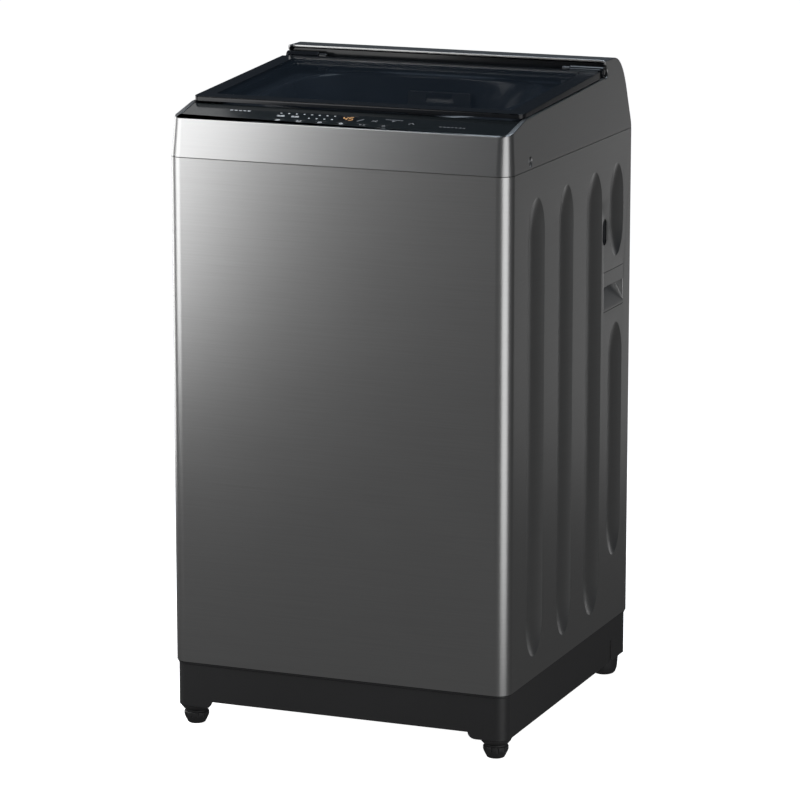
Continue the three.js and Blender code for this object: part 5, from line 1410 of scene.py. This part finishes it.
CAD_FINISHES = {
    "hinge_pin_left": ZINC_STEEL,
    "hinge_pin_right": ZINC_STEEL,
    "circuit_board": BOARD_GREEN,
    "support_bracket": ZINC_STEEL,
    "basket_shaft": ZINC_STEEL,
    "pulsator_shaft": ZINC_STEEL,
}


def repaint():
    """Gives the CAD pieces that stay as they are their real finish."""
    for node, material in CAD_FINISHES.items():
        for place in frame["nodes"][node].material_slots:
            place.material = material


# ------------------------------------------------------------------ stage, lights and camera
def stage():
    """A white floor that only the camera sees."""
    bm = surface([[(-12000, -9000, 0), (12000, -9000, 0)], [(-12000, 30000, 0), (12000, 30000, 0)]],
                 capped=False, cyclic=False)
    mesh = bpy.data.meshes.new("floor")
    bm.to_mesh(mesh)
    mesh.transform(Matrix.Scale(MM, 4))
    floor = bpy.data.objects.new("floor", mesh)
    bpy.context.scene.collection.objects.link(floor)
    material = finish("floor_paint", (0.9, 0.9, 0.9), 0.9, grain=3, shade=0.01, relief=0.0,
                      Emission_Color=(1, 1, 1, 1), Emission_Strength=1.0)
    mesh.materials.append(material)
    floor.visible_glossy = False
    floor.visible_diffuse = False
    floor.visible_shadow = False


def softbox(name, place, target, size, power, color=(1, 1, 1)):
    """A rectangular studio light aimed at a point; places are in metres."""
    data = bpy.data.lights.new(name, "AREA")
    data.shape = "RECTANGLE"
    data.size, data.size_y = size
    data.energy = power
    data.color = color
    light = bpy.data.objects.new(name, data)
    bpy.context.scene.collection.objects.link(light)
    light.location = place
    light.rotation_euler = (Vector(target) - Vector(place)).to_track_quat("-Z", "Y").to_euler()
    light.visible_camera = False


ROOM_FRONT = 0.155
ROOM_REAR = 0.085
ROOM_ABOVE = (0.022, 0.028, 0.036, 1)


def world():
    """White behind the machine, and a dim studio for everything that lights or mirrors it."""
    made = bpy.data.worlds.new("studio")
    made.use_nodes = True
    nodes = made.node_tree.nodes
    links = made.node_tree.links
    room = nodes["Background"]
    direction = nodes.new("ShaderNodeTexCoord")
    axes = nodes.new("ShaderNodeSeparateXYZ")
    links.new(direction.outputs["Generated"], axes.inputs["Vector"])
    below = nodes.new("ShaderNodeMapRange")
    below.inputs["From Min"].default_value = -0.6
    below.inputs["From Max"].default_value = 0.6
    below.inputs["To Min"].default_value = ROOM_FRONT
    below.inputs["To Max"].default_value = ROOM_REAR
    links.new(axes.outputs["Y"], below.inputs["Value"])
    height = nodes.new("ShaderNodeMapRange")
    height.interpolation_type = "SMOOTHSTEP"
    height.inputs["From Min"].default_value = -0.05
    height.inputs["From Max"].default_value = 0.15
    links.new(axes.outputs["Z"], height.inputs["Value"])
    grey = nodes.new("ShaderNodeMix")
    grey.data_type = "RGBA"
    grey.inputs["B"].default_value = ROOM_ABOVE
    links.new(height.outputs["Result"], grey.inputs["Factor"])
    links.new(below.outputs["Result"], grey.inputs["A"])
    links.new(grey.outputs["Result"], room.inputs["Color"])
    white = nodes.new("ShaderNodeBackground")
    white.inputs["Strength"].default_value = 1.0
    path = nodes.new("ShaderNodeLightPath")
    mix = nodes.new("ShaderNodeMixShader")
    links.new(path.outputs["Is Camera Ray"], mix.inputs["Fac"])
    links.new(room.outputs["Background"], mix.inputs[1])
    links.new(white.outputs["Background"], mix.inputs[2])
    links.new(mix.outputs["Shader"], nodes["World Output"].inputs["Surface"])
    bpy.context.scene.world = made


def lights():
    """A key for the front, strips for the cabinet's edges, and soft light for the side and the top."""
    softbox("key", (-0.6, -0.7, 1.035), (0, -0.27, 0.6), (0.62, 1.5), 11.3)
    softbox("right_corner", (1.5, -1.0, 0.55), (0.27, -0.27, 0.6), (1.3, 1.4), 13)
    softbox("left_corner", (-1.6, 0.35, 0.8), (-0.27, -0.27, 0.6), (0.8, 1.5), 14)
    softbox("side", (0.72, 3.2, 0.22), (0.27, 0, 0.6), (1.1, 1.2), 2.1)
    softbox("overhead", (0.1, 0.5, 2.6), (0, 0, 0.9), (1.2, 0.9), 20, (0.78, 0.89, 1.0))
    softbox("panel_end", (-1.35, 1.3, 2.1), (-0.2, -0.2, 0.93), (0.6, 0.5), 0.6)


CAMERA_PLACE = (2.2847, -5.6833, 1.7923)
CAMERA_TARGET = (-0.0077, 0, 0.4703)
CAMERA_LENS = 184.3


def camera():
    data = bpy.data.cameras.new("camera")
    data.sensor_width = 36
    data.lens = CAMERA_LENS
    made = bpy.data.objects.new("camera", data)
    bpy.context.scene.collection.objects.link(made)
    made.location = CAMERA_PLACE
    made.rotation_euler = (Vector(CAMERA_TARGET) - made.location).to_track_quat("-Z", "Y").to_euler()
    bpy.context.scene.camera = made
    bpy.context.scene.view_settings.view_transform = "Standard"


# ------------------------------------------------------------------ the machine
camera()
world()
lights()
stage()
cabinet_shell()
top_shell()
panel_face()
lid_border()
lid_pane()
deck_plate()
base_skirt()
for side, sign in (("left", -1), ("right", 1)):
    grip_cup(side, sign)
    blanking_plug(side, sign)
    frame_screw(side, sign)
    front_foot(side, sign)
    back_foot(side, sign)
drawer()
drawer_case()
inlet_valve()
back_sheet()
louvre_cover()
gland()
tub_shell()
tub_ring()
perforated_drum()
basket_floor()
balancer()
filter_cassette()
agitator_plate()
agitator_cap()
for corner, sx, sy in CORNERS:
    hanger(corner, sx, sy)
    coil_spring(corner, sx, sy)
clutch()
motor_can()
pulley("drive_wheel", PULLEY_RADIUS, 9.4, 0, "pulsator", "drive_pulley", CAST_ALUMINIUM,
       windows=4)
pulley("motor_wheel", MOTOR_PULLEY_RADIUS, 5.8, MOTOR_Y, "motor_rotor", "motor_pulley", ZINC_STEEL,
       shaft=(6, BELT_HEIGHT - 9, limits("motor_pulley")[1].z))
belt()
drain_parts()
repaint()
